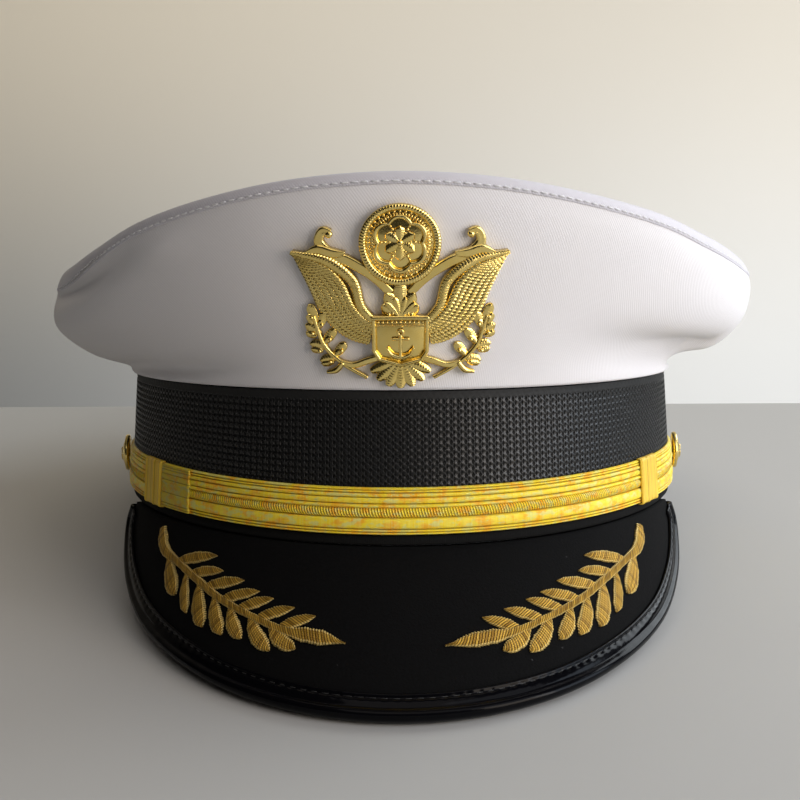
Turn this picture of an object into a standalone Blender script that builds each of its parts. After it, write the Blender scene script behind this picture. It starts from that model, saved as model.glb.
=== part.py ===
import bpy
import bmesh
import math
import numpy as np

# Peaked uniform cap. Sizes are millimetres in the frame of the head band: x to the right,
# y to the back, z up from the band's lower edge, with (0, 0) on the band's axis.
# The finished cap is tipped back until peak and band both rest on the table.

# driving sizes
GAP = 0.3                 # clearance between neighbouring pieces
ROUND = 48                # stations round the band and the crown
CLOTH = 1.6               # crown cloth with its interlining
BAND_HALF_WIDTH = 89.0    # outside of the mesh band at its lower edge
BAND_HALF_LENGTH = 105.8
BAND_HEIGHT = 38.4
BAND_TAPER = 2.4          # inset of the band's upper edge
FRONT_DIP = 2.8           # the band's lower edge hangs lower over the peak
FOOT_HEIGHT = 3.0         # plain strip below the strap
MESH_WALL = 1.2
CORE_WALL = 2.5
STRAP_LOW, STRAP_HIGH = 3.1, 15.7
STRAP_END = 91.0          # oval angle where the strap ends, degrees
RIM_HALF_WIDTH = 112.9    # crown rim oval
RIM_HALF_LENGTH = 127.0
RIM_CENTRE = 9.0          # the crown's overhang is larger at the back
VISOR_ROOT = (89.3, 106.1)
VISOR_BOARD = 2.4
VISOR_SLOPE_FRONT, VISOR_SLOPE_SIDE = 52.0, 80.0
SPRAY_GAP = 0.3
BADGE_LIFT = 0.5          # the badge stands this far off the cloth

# height of the crown's rim over the band's lower edge, and how far the side folds out
CROWN = [
    # angle  height  fold
    (0, 94.9, 0.00),
    (13, 93.5, 0.00),
    (30, 88.0, 0.10),
    (40, 83.5, 0.30),
    (50, 77.8, 0.58),
    (62, 73.0, 0.88),
    (90, 71.5, 1.00),
    (135, 68.5, 1.00),
    (180, 66.5, 1.00),
]
# crown section: share of the way out from band to rim, and of the way up
PROFILE = [
    # front out, up     side out, up
    (0.05, 0.00, 0.06, 0.00),
    (0.16, 0.13, 0.14, 0.075),
    (0.31, 0.27, 0.56, 0.18),
    (0.48, 0.42, 0.81, 0.30),
    (0.65, 0.57, 0.99, 0.45),
    (0.82, 0.73, 1.08, 0.62),
    (0.94, 0.87, 1.10, 0.81),
    (1.00, 1.00, 1.00, 1.00),
]
# outer edge of the peak: width from the band, measured along the peak
VISOR_EDGE = [
    # angle  width
    (0, 47.9),
    (10, 46.7),
    (18, 44.3),
    (25, 41.4),
    (32, 38.0),
    (40, 34.0),
    (48, 29.6),
    (55, 24.6),
    (60.5, 19.8),
    (64.8, 14.4),
    (67.6, 9.0),
    (68.3, 5.6),
    (67.9, 3.0),
]
# section of the patent binding: out across the peak's edge and up from its face
BINDING = [
    # outside          inside
    (-7.0, 1.0, -7.0, 0.3),
    (-3.4, 1.2, -4.0, 0.3),
    (-2.2, 1.6, -2.2, 0.3),
    (-0.5, 1.0, -1.6, 0.1),
    (0.0, -1.2, -1.6, -1.2),
    (-0.9, -3.3, -1.6, -2.6),
    (-7.0, -3.5, -7.0, -2.7),
]
# ribs of the braid strap from its lower to its upper edge: share of height, relief
STRAP_RIBS = [
    (0.00, 0.3), (0.05, 0.9), (0.12, 0.5), (0.18, 0.9), (0.37, 1.0), (0.41, 0.4), (0.45, 1.1),
    (0.55, 1.1), (0.59, 0.4), (0.66, 1.3), (0.73, 0.4), (0.79, 0.9), (0.93, 0.9), (1.00, 0.3),
]
# leaf sprays, laid out on the peak: distance round from the middle, width from the band
SPRAY_STEM = [
    # round  down  half width
    (80.8, 3.2, 0.6), (79.2, 5.9, 1.3), (75.4, 8.7, 1.3), (69.3, 10.3, 1.2), (61.0, 12.8, 1.2),
    (53.8, 15.3, 1.2), (46.8, 18.1, 1.1), (40.9, 20.1, 1.1), (34.4, 22.2, 1.0), (28.8, 24.1, 1.0),
    (23.6, 25.5, 1.3), (20.0, 26.0, 2.2), (15.6, 26.7, 2.0), (9.8, 27.8, 0.25),
]
SPRAY_LEAVES = [
    # base round, down   tip round, down   half width
    (67.5, 10.6, 52.1, 6.7, 2.1), (60.2, 13.1, 48.2, 10.6, 1.9), (52.6, 15.8, 40.4, 12.4, 2.1),
    (45.6, 18.5, 34.8, 14.9, 2.0), (39.6, 20.5, 30.4, 16.5, 2.0), (33.4, 22.5, 24.3, 18.6, 2.0),
    (27.0, 24.5, 18.7, 20.6, 2.0), (72.2, 9.9, 63.0, 19.6, 2.6), (62.3, 12.6, 57.3, 23.8, 1.9),
    (55.0, 15.0, 48.6, 26.9, 2.7), (48.0, 17.8, 41.8, 28.1, 2.4), (41.8, 20.0, 36.0, 28.5, 2.2),
    (35.2, 22.1, 27.9, 30.9, 2.3), (29.2, 24.1, 21.9, 29.9, 2.2),
]
# badge, laid out on the front of the crown: u to the right, v up from the band
DISC = (10.1, 39.4)   # radius of the medallion, height of its centre
WING_BONE = [
    # u  v  half width
    (7.0, 20.6, 1.0), (9.6, 23.6, 1.2), (11.7, 30.4, 1.3), (17.3, 35.2, 1.3), (27.2, 38.5, 0.4),
]
WING_FEATHERS = [
    # root u, v   tip u, v   half width
    (20.5, 36.0, 25.0, 34.2, 0.9), (17.2, 34.6, 23.6, 31.4, 1.0), (14.6, 32.6, 22.2, 28.2, 1.1),
    (12.8, 30.4, 20.9, 24.9, 1.15), (11.8, 27.8, 19.1, 21.6, 1.15), (11.0, 25.4, 16.6, 18.7, 1.15),
    (9.8, 23.4, 13.6, 16.4, 1.15), (8.2, 21.6, 10.6, 15.0, 1.1), (6.6, 20.4, 7.9, 14.4, 1.0),
]
SCROLL = [
    # u  v  half width
    (2.4, 27.4, 0.8), (6.2, 31.2, 0.9), (12.5, 35.2, 0.9), (18.4, 38.0, 1.0), (20.1, 40.6, 0.9),
    (19.0, 43.0, 0.9), (17.2, 42.4, 0.7),
]
SPRIG_STEM = [
    # u  v  half width
    (8.6, 4.3, 0.5), (14.0, 7.9, 0.6), (19.6, 13.6, 0.55), (22.4, 22.0, 0.4),
]
SPRIG_LEAVES = [
    # base u, v   tip u, v   half width
    (22.0, 20.0, 23.4, 24.4, 1.0), (21.6, 18.6, 19.8, 22.4, 1.0), (21.0, 17.0, 24.3, 19.4, 1.0),
    (20.2, 14.6, 17.4, 18.0, 1.05), (19.2, 13.2, 23.2, 14.4, 1.05), (17.2, 11.2, 14.8, 14.2, 1.05),
    (16.4, 10.2, 20.6, 9.6, 1.05),
]
FAN_ANGLES = (-66, -44, -22, 0, 22, 44, 66)


def curve(x, xs, ys):
    """Smooth curve through the rows of a table, flat at both ends."""
    xs, ys, x = (np.asarray(q, float) for q in (xs, ys, x))
    step = np.diff(xs)
    slope = np.diff(ys) / step
    m = np.zeros_like(ys)
    inner = (slope[:-1] * step[1:] + slope[1:] * step[:-1]) / (step[1:] + step[:-1])
    m[1:-1] = np.where(slope[:-1] * slope[1:] > 0, inner, 0.0)
    i = np.clip(np.searchsorted(xs, x, "right") - 1, 0, len(step) - 1)
    t = np.clip((x - xs[i]) / step[i], 0.0, 1.0)
    a, b = 2 * t**3 - 3 * t**2 + 1, t**3 - 2 * t**2 + t
    c, d = -2 * t**3 + 3 * t**2, t**3 - t**2
    return a * ys[i] + b * step[i] * m[i] + c * ys[i + 1] + d * step[i] * m[i + 1]


def folded(phi):
    """Oval angle as a size from 0 at the front to 180 at the back."""
    return np.abs((np.asarray(phi, float) + 180.0) % 360.0 - 180.0)


def lower_edge(phi):
    """How far the band's lower edge hangs below its level at the back."""
    return -FRONT_DIP * np.maximum(np.cos(np.radians(phi)), 0.0)**2


def band_point(phi, z, out):
    """Point on the band's outside, moved out by a distance square to the oval."""
    p = np.radians(phi)
    hang = lower_edge(phi) * np.clip((BAND_HEIGHT - z) / (BAND_HEIGHT - 17.0), 0.0, 1.0)
    a = BAND_HALF_WIDTH - BAND_TAPER * z / BAND_HEIGHT
    b = BAND_HALF_LENGTH - BAND_TAPER * z / BAND_HEIGHT
    nx, ny = np.sin(p) / a, -np.cos(p) / b
    size = np.hypot(nx, ny)
    return np.stack(np.broadcast_arrays(a * np.sin(p) + out * nx / size,
                                        -b * np.cos(p) + out * ny / size, z + hang), -1)


def crown_point(phi, s):
    """Point on the outside of the crown; s runs 0 to 1 from the band to the rim."""
    angle = folded(phi)
    rows = np.array(CROWN)
    top = curve(angle, rows[:, 0], rows[:, 1]) - CLOTH - GAP
    fold = curve(angle, rows[:, 0], rows[:, 2])
    prof = np.array(PROFILE)
    u = np.linspace(0, 1, len(prof))
    k = [spline(s, u, prof[:, i]) for i in range(4)]
    out, up = k[0] + (k[2] - k[0]) * fold, k[1] + (k[3] - k[1]) * fold
    foot = band_point(phi, BAND_HEIGHT, 0.0)
    p = np.radians(phi)
    x = foot[..., 0] + (RIM_HALF_WIDTH * np.sin(p) - foot[..., 0]) * out
    y = foot[..., 1] + (RIM_CENTRE - RIM_HALF_LENGTH * np.cos(p) - foot[..., 1]) * out
    low = BAND_HEIGHT + GAP
    return np.stack(np.broadcast_arrays(x, y, low + (top - low) * up), -1)


def spline(x, xs, ys):
    """Smooth curve through the rows of a table, free at both ends."""
    xs, ys, x = (np.asarray(q, float) for q in (xs, ys, x))
    m = np.gradient(ys, xs)
    i = np.clip(np.searchsorted(xs, x, "right") - 1, 0, len(xs) - 2)
    h = xs[i + 1] - xs[i]
    t = (x - xs[i]) / h
    a, b = 2 * t**3 - 3 * t**2 + 1, t**3 - 2 * t**2 + t
    c, d = -2 * t**3 + 3 * t**2, t**3 - t**2
    return a * ys[i] + b * h * m[i] + c * ys[i + 1] + d * h * m[i + 1]


def visor_base(phi, w):
    """Point on the peak's upper face, w millimetres down from the band."""
    a, b = VISOR_ROOT
    p = np.radians(phi)
    nx, ny = np.sin(p) / a, -np.cos(p) / b
    size = np.hypot(nx, ny)
    turn = VISOR_SLOPE_SIDE - VISOR_SLOPE_FRONT
    s = np.radians(VISOR_SLOPE_FRONT + turn * np.sin(p)**2)
    x = a * np.sin(p) + w * np.cos(s) * nx / size
    y = -b * np.cos(p) + w * np.cos(s) * ny / size
    return np.stack(np.broadcast_arrays(x, y, lower_edge(phi) - GAP - w * np.sin(s)), -1)


def visor_frame(phi, w):
    """Face directions of the peak: round per degree, down per millimetre, and square out."""
    e = 0.05
    round_ = (visor_base(phi + e, w) - visor_base(phi - e, w)) / (2 * e)
    down = (visor_base(phi, w + e) - visor_base(phi, w - e)) / (2 * e)
    n = np.cross(down, round_)
    return round_, down, n / np.linalg.norm(n, axis=-1, keepdims=True)


def visor_point(phi, w, up):
    """Point at a height over the peak's upper face."""
    n = visor_frame(phi, w)[2]
    return visor_base(phi, w) + np.asarray(up, float)[..., None] * n


def visor_edge(count):
    """Outer edge of the peak from left to right: oval angles and widths."""
    rows = np.array(VISOR_EDGE, float)
    walk = np.hypot(np.diff(rows[:, 0]) * 1.65, np.diff(rows[:, 1]))
    walk = np.concatenate([[0], np.cumsum(walk)])
    t = np.linspace(-walk[-1], walk[-1], count)
    both = np.concatenate([-walk[:0:-1], walk])
    phi = spline(t, both, np.concatenate([-rows[:0:-1, 0], rows[:, 0]]))
    w = spline(t, both, np.concatenate([rows[:0:-1, 1], rows[:, 1]]))
    return phi, w


def edge_shift(phi, w, out):
    """Places on the peak's face at a distance inside its outer edge."""
    line = visor_base(phi, w)
    run = np.gradient(line, axis=0)
    run /= np.linalg.norm(run, axis=1, keepdims=True)
    round_, down, n = visor_frame(phi, w)
    side = np.cross(run, n)
    g11, g12 = (round_ * round_).sum(1), (round_ * down).sum(1)
    g22 = (down * down).sum(1)
    r1, r2 = (round_ * side).sum(1), (down * side).sum(1)
    det = g11 * g22 - g12 * g12
    dphi, dw = (g22 * r1 - g12 * r2) / det, (g11 * r2 - g12 * r1) / det
    if (dw[len(dw) // 2]) < 0:
        dphi, dw = -dphi, -dw
    return phi + out * dphi, w + out * dw


class Body:
    """A closed body as points and faces."""

    def __init__(self, verts, faces):
        self.verts = np.asarray(verts, float)
        self.faces = faces


def shell(outer, inner, closed):
    """Closed wall between two grids; stations run round, columns run across."""
    n, m = outer.shape[:2]
    verts = np.concatenate([outer.reshape(-1, 3), inner.reshape(-1, 3)])
    o = lambda i, j: (i % n) * m + j
    q = lambda i, j: n * m + (i % n) * m + j
    faces = []
    for i in range(n if closed else n - 1):
        for j in range(m - 1):
            faces.append((o(i, j), o(i + 1, j), o(i + 1, j + 1), o(i, j + 1)))
            faces.append((q(i, j), q(i, j + 1), q(i + 1, j + 1), q(i + 1, j)))
        faces.append((o(i, 0), q(i, 0), q(i + 1, 0), o(i + 1, 0)))
        faces.append((o(i, m - 1), o(i + 1, m - 1), q(i + 1, m - 1), q(i, m - 1)))
    if not closed:
        for j in range(m - 1):
            faces.append((o(0, j), o(0, j + 1), q(0, j + 1), q(0, j)))
            k = n - 1
            faces.append((o(k, j), q(k, j), q(k, j + 1), o(k, j + 1)))
    return Body(verts, faces)


def disc(upper, lower, top, bottom):
    """Closed disc between two sets of rings (outermost first), with two centre points."""
    r, n = upper.shape[:2]
    verts = np.concatenate([upper.reshape(-1, 3), lower.reshape(-1, 3), [top, bottom]])
    a = lambda k, i: k * n + i % n
    b = lambda k, i: r * n + k * n + i % n
    faces = []
    for i in range(n):
        for k in range(r - 1):
            faces.append((a(k, i), a(k, i + 1), a(k + 1, i + 1), a(k + 1, i)))
            faces.append((b(k, i), b(k + 1, i), b(k + 1, i + 1), b(k, i + 1)))
        faces.append((a(r - 1, i), a(r - 1, i + 1), 2 * r * n))
        faces.append((b(r - 1, i), 2 * r * n + 1, b(r - 1, i + 1)))
        faces.append((a(0, i), b(0, i), b(0, i + 1), a(0, i + 1)))
    return Body(verts, faces)


def stroke(path, widths, edge, ridge, base=0.0):
    """Raised bar on a flat sheet, with its ridge along the middle; edge 0 makes it chiselled."""
    path, widths = np.asarray(path, float), np.asarray(widths, float)
    run = np.gradient(path, axis=0)
    run /= np.linalg.norm(run, axis=1, keepdims=True)
    side = np.stack([-run[:, 1], run[:, 0]], 1)
    rows = []
    section = [(-1, base), (-1, edge), (0, ridge), (1, edge), (1, base)]
    for k, h in section if edge else section[::2]:
        flat = path + side * widths[:, None] * k
        rows.append(np.column_stack([flat, np.full(len(path), h)]))
    ring = np.stack(rows, 1)
    n, m = ring.shape[:2]
    faces = []
    for i in range(n - 1):
        for j in range(m):
            k = (j + 1) % m
            faces.append((i * m + j, i * m + k, (i + 1) * m + k, (i + 1) * m + j))
    faces.append(tuple(range(m - 1, -1, -1)))
    faces.append(tuple((n - 1) * m + j for j in range(m)))
    return Body(ring.reshape(-1, 3), faces)


def leaf(base, tip, half, edge, ridge, bow=0.0, bottom=0.0, full=False):
    """Leaf on a flat sheet, pointed at its tip and narrow at its base."""
    base, tip = np.array(base, float), np.array(tip, float)
    t = np.array([0.0, 0.3, 0.7, 1.0] if full else [0.0, 0.45, 1.0])
    shape = np.array([0.45, 0.95, 0.85, 0.12] if full else [0.5, 1.0, 0.14])
    run = tip - base
    side = np.array([-run[1], run[0]]) / np.hypot(*run)
    path = base + run * t[:, None] + side * (bow * 4 * t * (1 - t))[:, None]
    return stroke(path, half * shape, edge, ridge, bottom)


def pad(outline, height, base=0.0):
    """Flat plate with the outline given in order round it."""
    outline = np.asarray(outline, float)
    n = len(outline)
    low = np.column_stack([outline, np.full(n, base)])
    high = np.column_stack([outline, np.full(n, height)])
    faces = [(i, (i + 1) % n, n + (i + 1) % n, n + i) for i in range(n)]
    faces += [tuple(range(n - 1, -1, -1)), tuple(range(n, 2 * n))]
    return Body(np.concatenate([low, high]), faces)


def hoop(cu, cv, r_in, r_out, height, count, base=0.0, lobes=0, depth=0.0):
    """Raised ring, round or lobed."""
    a = np.linspace(0, 2 * math.pi, count, endpoint=False)
    wave = 1.0 + depth * np.abs(np.sin(lobes * a / 2)) if lobes else np.ones(count)
    rows = []
    mid = (r_in + r_out) / 2
    for r, h in ((r_in, base), (r_in, height - 0.25), (mid, height), (r_out, height - 0.25),
                 (r_out, base)):
        rows.append(np.column_stack([cu + r * wave * np.cos(a), cv + r * wave * np.sin(a),
                                     np.full(count, h)]))
    ring = np.stack(rows, 1)
    m = 5
    faces = []
    for i in range(count):
        for j in range(m):
            k, n = (j + 1) % m, (i + 1) % count
            faces.append((i * m + j, i * m + k, n * m + k, n * m + j))
    return Body(ring.reshape(-1, 3), faces)


def mirrored(body):
    verts = body.verts * np.array([-1.0, 1.0, 1.0])
    return Body(verts, [tuple(reversed(f)) for f in body.faces])


def merged(bodies):
    """One mesh holding several bodies side by side."""
    verts, faces, at = [], [], 0
    for b in bodies:
        verts.append(b.verts)
        faces += [tuple(at + k for k in f) for f in b.faces]
        at += len(b.verts)
    return Body(np.concatenate(verts), faces)


def mesh_object(name, body):
    mesh = bpy.data.meshes.new(name)
    mesh.from_pydata([tuple(v) for v in body.verts], [], body.faces)
    mesh.validate()
    ob = bpy.data.objects.new(name, mesh)
    bpy.context.scene.collection.objects.link(ob)
    return ob


def evened(ob, merge=False):
    """Faces of one body all turned outward, nearly equal points welded."""
    bm = bmesh.new()
    bm.from_mesh(ob.data)
    bmesh.ops.remove_doubles(bm, verts=bm.verts, dist=1e-4)
    bmesh.ops.dissolve_degenerate(bm, dist=1e-4, edges=bm.edges)
    if merge:
        bmesh.ops.dissolve_limit(bm, angle_limit=math.radians(2.0), verts=bm.verts,
                                 edges=bm.edges)
    bmesh.ops.triangulate(bm, faces=[f for f in bm.faces if len(f.verts) > 3])
    bmesh.ops.recalc_face_normals(bm, faces=bm.faces)
    bm.to_mesh(ob.data)
    bm.free()


def boolean(body, tool, operation):
    """Union or difference of two bodies, solved exactly."""
    ob, cut = mesh_object("work", body), mesh_object("tool", tool)
    for o in (ob, cut):
        evened(o)
    mod = ob.modifiers.new("solve", "BOOLEAN")
    mod.operation, mod.solver, mod.object = operation, "EXACT", cut
    mod.use_self = operation == "UNION"
    bpy.context.view_layer.objects.active = ob
    ob.select_set(True)
    bpy.ops.object.modifier_apply(modifier=mod.name)
    evened(ob, operation == "UNION")
    verts = np.array([v.co[:] for v in ob.data.vertices])
    faces = [tuple(p.vertices) for p in ob.data.polygons]
    for o in (ob, cut):
        mesh = o.data
        bpy.data.objects.remove(o)
        bpy.data.meshes.remove(mesh)
    return Body(verts, faces)


def fused(bodies):
    """One body from overlapping bodies."""
    return boolean(merged(bodies[:-1]), bodies[-1], "UNION")


# crown side: one cloth shell from the band to the rim
def crown_side():
    phi = np.linspace(-180, 180, ROUND, endpoint=False)[:, None]
    s = np.linspace(0, 1, 8)[None, :]
    outer = crown_point(phi + 0 * s, s + 0 * phi)
    e = 1e-3
    run = crown_point(phi + 0.1, s + 0 * phi) - crown_point(phi - 0.1, s + 0 * phi)
    rise = crown_point(phi + 0 * s, s + e) - crown_point(phi + 0 * s, s - e)
    n = np.cross(run, rise)
    n /= np.linalg.norm(n, axis=-1, keepdims=True)
    inner = outer - n * CLOTH
    for edge in (0, -1):
        flat = n[:, edge] * np.array([1, 1, 0])
        flat /= np.linalg.norm(flat, axis=-1, keepdims=True)
        inner[:, edge] = outer[:, edge] - flat * CLOTH
    return shell(outer, inner, True)


# crown top: cloth stretched over the rim, its height a smooth blend of the rim's heights
def crown_top():
    count = ROUND
    phi = np.linspace(-180, 180, count, endpoint=False)
    rows = np.array(CROWN)
    rim = curve(folded(phi), rows[:, 0], rows[:, 1])
    p = np.radians(phi)
    terms = [(rim * np.cos(k * p)).mean() * (1 if k == 0 else 2) for k in range(9)]

    def height(r):
        soft = sum(t * r**k * np.cos(k * p) for k, t in enumerate(terms))
        return soft + (rim - sum(t * np.cos(k * p) for k, t in enumerate(terms))) * r**9

    def ring(r, drop, out=0.0):
        return np.stack([(RIM_HALF_WIDTH + out) * r * np.sin(p),
                         RIM_CENTRE - (RIM_HALF_LENGTH + out) * r * np.cos(p),
                         height(r) - 1.2 * (1 - r * r) - drop], 1)

    upper = np.stack([ring(1.0, 0.5, 0.5), ring(0.985, 0.0), ring(0.8, 0.0), ring(0.45, 0.0)])
    seat = ring(0.981, CLOTH)
    seat[:, 2] = rim - CLOTH
    lower = np.stack([ring(1.0, CLOTH, 0.4), seat, ring(0.8, CLOTH), ring(0.45, CLOTH)])
    middle = np.array([0, RIM_CENTRE, terms[0] - 1.2])
    return disc(upper, lower, middle, middle - [0, 0, CLOTH])


# band core: upright cloth band on a wider foot
def band_core():
    phi = np.linspace(-180, 180, ROUND, endpoint=False)[:, None]
    depth = MESH_WALL + GAP
    z = np.array([0.0, FOOT_HEIGHT, FOOT_HEIGHT, BAND_HEIGHT])[None, :]
    out = np.array([-0.4, -0.4, -depth, -depth])[None, :]
    outer = band_point(phi + 0 * z, z + 0 * phi, out + 0 * phi)
    inner = band_point(phi + 0 * z, z + 0 * phi, -depth - CORE_WALL + 0 * phi * z)
    inner[:, 1] = (inner[:, 1] + inner[:, 0]) / 2
    inner[:, 2] = inner[:, 1] + (inner[:, 3] - inner[:, 1]) * 0.3
    return shell(outer, inner, True)


# mesh band round the core, with a plain selvedge along its upper edge
def mesh_band():
    phi = np.linspace(-180, 180, ROUND, endpoint=False)[:, None]
    z = np.array([FOOT_HEIGHT + GAP, BAND_HEIGHT - 2.2, BAND_HEIGHT])[None, :]
    outer = band_point(phi + 0 * z, z + 0 * phi, np.array([0.0, 0.0, 0.25])[None, :] + 0 * phi)
    inner = band_point(phi + 0 * z, z + 0 * phi, -MESH_WALL + 0 * phi * z)
    return shell(outer, inner, True)


# strap: ribbed braid across the front
def chin_strap():
    phi = np.linspace(-STRAP_END, STRAP_END, 37)[:, None]
    rows = np.array(STRAP_RIBS)
    z = (STRAP_LOW + (STRAP_HIGH - STRAP_LOW) * rows[:, 0])[None, :]
    outer = band_point(phi + 0 * z, z + 0 * phi, (GAP + rows[:, 1])[None, :] + 0 * phi)
    inner = band_point(phi + 0 * z, z + 0 * phi, GAP + 0 * phi * z)
    return strap_slim(outer, inner)


def strap_slim(outer, inner):
    """Ribbed strip with a smooth back."""
    n, m = outer.shape[:2]
    verts = np.concatenate([outer.reshape(-1, 3), inner[:, [0, -1]].reshape(-1, 3)])
    o = lambda i, j: i * m + j
    q = lambda i, j: n * m + i * 2 + j
    faces = []
    for i in range(n - 1):
        for j in range(m - 1):
            faces.append((o(i, j), o(i + 1, j), o(i + 1, j + 1), o(i, j + 1)))
        faces.append((q(i, 0), q(i, 1), q(i + 1, 1), q(i + 1, 0)))
        faces.append((o(i, 0), q(i, 0), q(i + 1, 0), o(i + 1, 0)))
        faces.append((o(i, m - 1), o(i + 1, m - 1), q(i + 1, 1), q(i, 1)))
    faces.append(tuple([o(0, j) for j in range(m)] + [q(0, 1), q(0, 0)]))
    faces.append(tuple([o(n - 1, j) for j in range(m - 1, -1, -1)] + [q(n - 1, 0), q(n - 1, 1)]))
    return Body(verts, faces)


# slides: ridged keepers whose lips turn over the strap's two edges
def slide(side):
    ridges = 4
    phi = np.linspace(51.0, 59.5, 2 * ridges + 1)
    top = 1.6 + GAP + GAP
    rows = []
    for k, p in enumerate(phi):
        lift = top + (1.15 if k % 2 else 0.65)
        low, high = STRAP_LOW - GAP, STRAP_HIGH + GAP
        outside = [(low - 0.8, GAP + 0.1), (low - 0.8, lift - 0.35), (low - 0.2, lift),
                   (high + 0.2, lift), (high + 0.8, lift - 0.35), (high + 0.8, GAP + 0.1)]
        inside = [(low, GAP + 0.1), (low, top - 0.1), (low + 0.1, top), (high - 0.1, top),
                  (high, top - 0.1), (high, GAP + 0.1)]
        rows.append((np.array([band_point(p, z, h) for z, h in outside]),
                     np.array([band_point(p, z, h) for z, h in inside])))
    body = shell(np.array([r[0] for r in rows]), np.array([r[1] for r in rows]), False)
    return body if side > 0 else mirrored(body)


# buttons: domed, with a rolled rim, at the ends of the strap
def button(side):
    section = [(5.7, 0.0), (5.9, 0.4), (5.5, 0.9), (4.9, 0.8), (4.4, 1.3), (2.4, 2.3)]
    centre = band_point(85.0, 10.6, 0.0)
    across = band_point(86.0, 10.6, 0.0) - band_point(84.0, 10.6, 0.0)
    across /= np.linalg.norm(across)
    out = np.cross(across, [0, 0, 1.0])
    out /= np.linalg.norm(out)
    up = np.cross(out, across)
    lift = GAP + 1.3 + GAP
    a = np.linspace(0, 2 * math.pi, 14, endpoint=False)
    ring = lambda r, h: (centre + out * (lift + h) + r * (np.cos(a)[:, None] * across
                                                         + np.sin(a)[:, None] * up))
    upper = np.array([ring(r, h) for r, h in section])
    lower = np.array([ring(5.2, 0.0)])
    rings = upper
    body = Body(*lathe(rings, lower, centre + out * (lift + 2.6), centre + out * lift))
    return body if side > 0 else mirrored(body)


def lathe(upper, lower, top, bottom):
    rings = np.concatenate([upper[::-1], lower[:1]])
    r, n = rings.shape[:2]
    verts = np.concatenate([rings.reshape(-1, 3), [top, bottom]])
    faces = []
    for i in range(n):
        j = (i + 1) % n
        faces.append((i, j, r * n))
        for k in range(r - 1):
            faces.append((k * n + i, (k + 1) * n + i, (k + 1) * n + j, k * n + j))
        faces.append(((r - 1) * n + i, r * n + 1, (r - 1) * n + j))
    return verts, faces


# peak: cloth-covered board, and the patent binding rolled round its edge
def visor():
    phi, w = visor_edge(39)
    ephi, ew = edge_shift(phi, w, -1.9)
    root = np.linspace(-1, 1, len(phi)) * 66.6
    grid_phi, grid_w = [], []
    for t in (0.0, 0.5, 1.0):
        grid_phi.append(root + (ephi - root) * t)
        grid_w.append(np.maximum(ew, 0.8) * t)
    gp, gw = np.stack(grid_phi, 1), np.stack(grid_w, 1)
    outer = visor_base(gp, gw)
    n = visor_frame(gp, gw)[2]
    inner = outer - n * VISOR_BOARD
    flat = n[:, 0] * np.array([1, 1, 0])
    size = np.linalg.norm(flat, axis=1, keepdims=True)
    inner[:, 0] = outer[:, 0] - flat / size * (VISOR_BOARD / size)
    return shell(outer, inner, False)


def visor_binding():
    phi, w = visor_edge(39)
    rows = np.array(BINDING)
    outer, inner = [], []
    for out, up, out2, up2 in rows:
        outer.append(visor_point(*edge_shift(phi, w, out), np.full(len(phi), up)))
        inner.append(visor_point(*edge_shift(phi, w, out2), np.full(len(phi), up2)))
    outer, inner = np.stack(outer, 1), np.stack(inner, 1)
    for grid in (outer, inner):
        grid[..., 2] = np.minimum(grid[..., 2], -GAP - 0.05)
    return shell(outer[:, ::-1], inner[:, ::-1], False)


def oval_angle(distance):
    """Oval angle at a distance round the peak's root from the middle."""
    a, b = VISOR_ROOT
    t = np.linspace(0, 90, 361)
    line = np.column_stack([a * np.sin(np.radians(t)), -b * np.cos(np.radians(t))])
    walk = np.concatenate([[0], np.cumsum(np.hypot(*np.diff(line, axis=0).T))])
    return np.interp(distance, walk, t)


# sprays: stem and leaves as one relief body laid on the peak
def spray(side):
    stem = np.array(SPRAY_STEM)
    parts = [stroke(stem[:, :2], stem[:, 2], 0.7, 1.15)]
    for bu, bv, tu, tv, half in SPRAY_LEAVES:
        lower = tv > bv + 4
        parts.append(leaf((bu, bv), (tu, tv), half, 0.0, 1.15, bow=-0.9 if lower else 0.3,
                          full=True))
    flat = fused(parts)
    phi = oval_angle(flat.verts[:, 0])
    verts = visor_point(phi, flat.verts[:, 1], SPRAY_GAP + flat.verts[:, 2])
    body = Body(verts, flat.faces)
    return body if side > 0 else mirrored(body)


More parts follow.
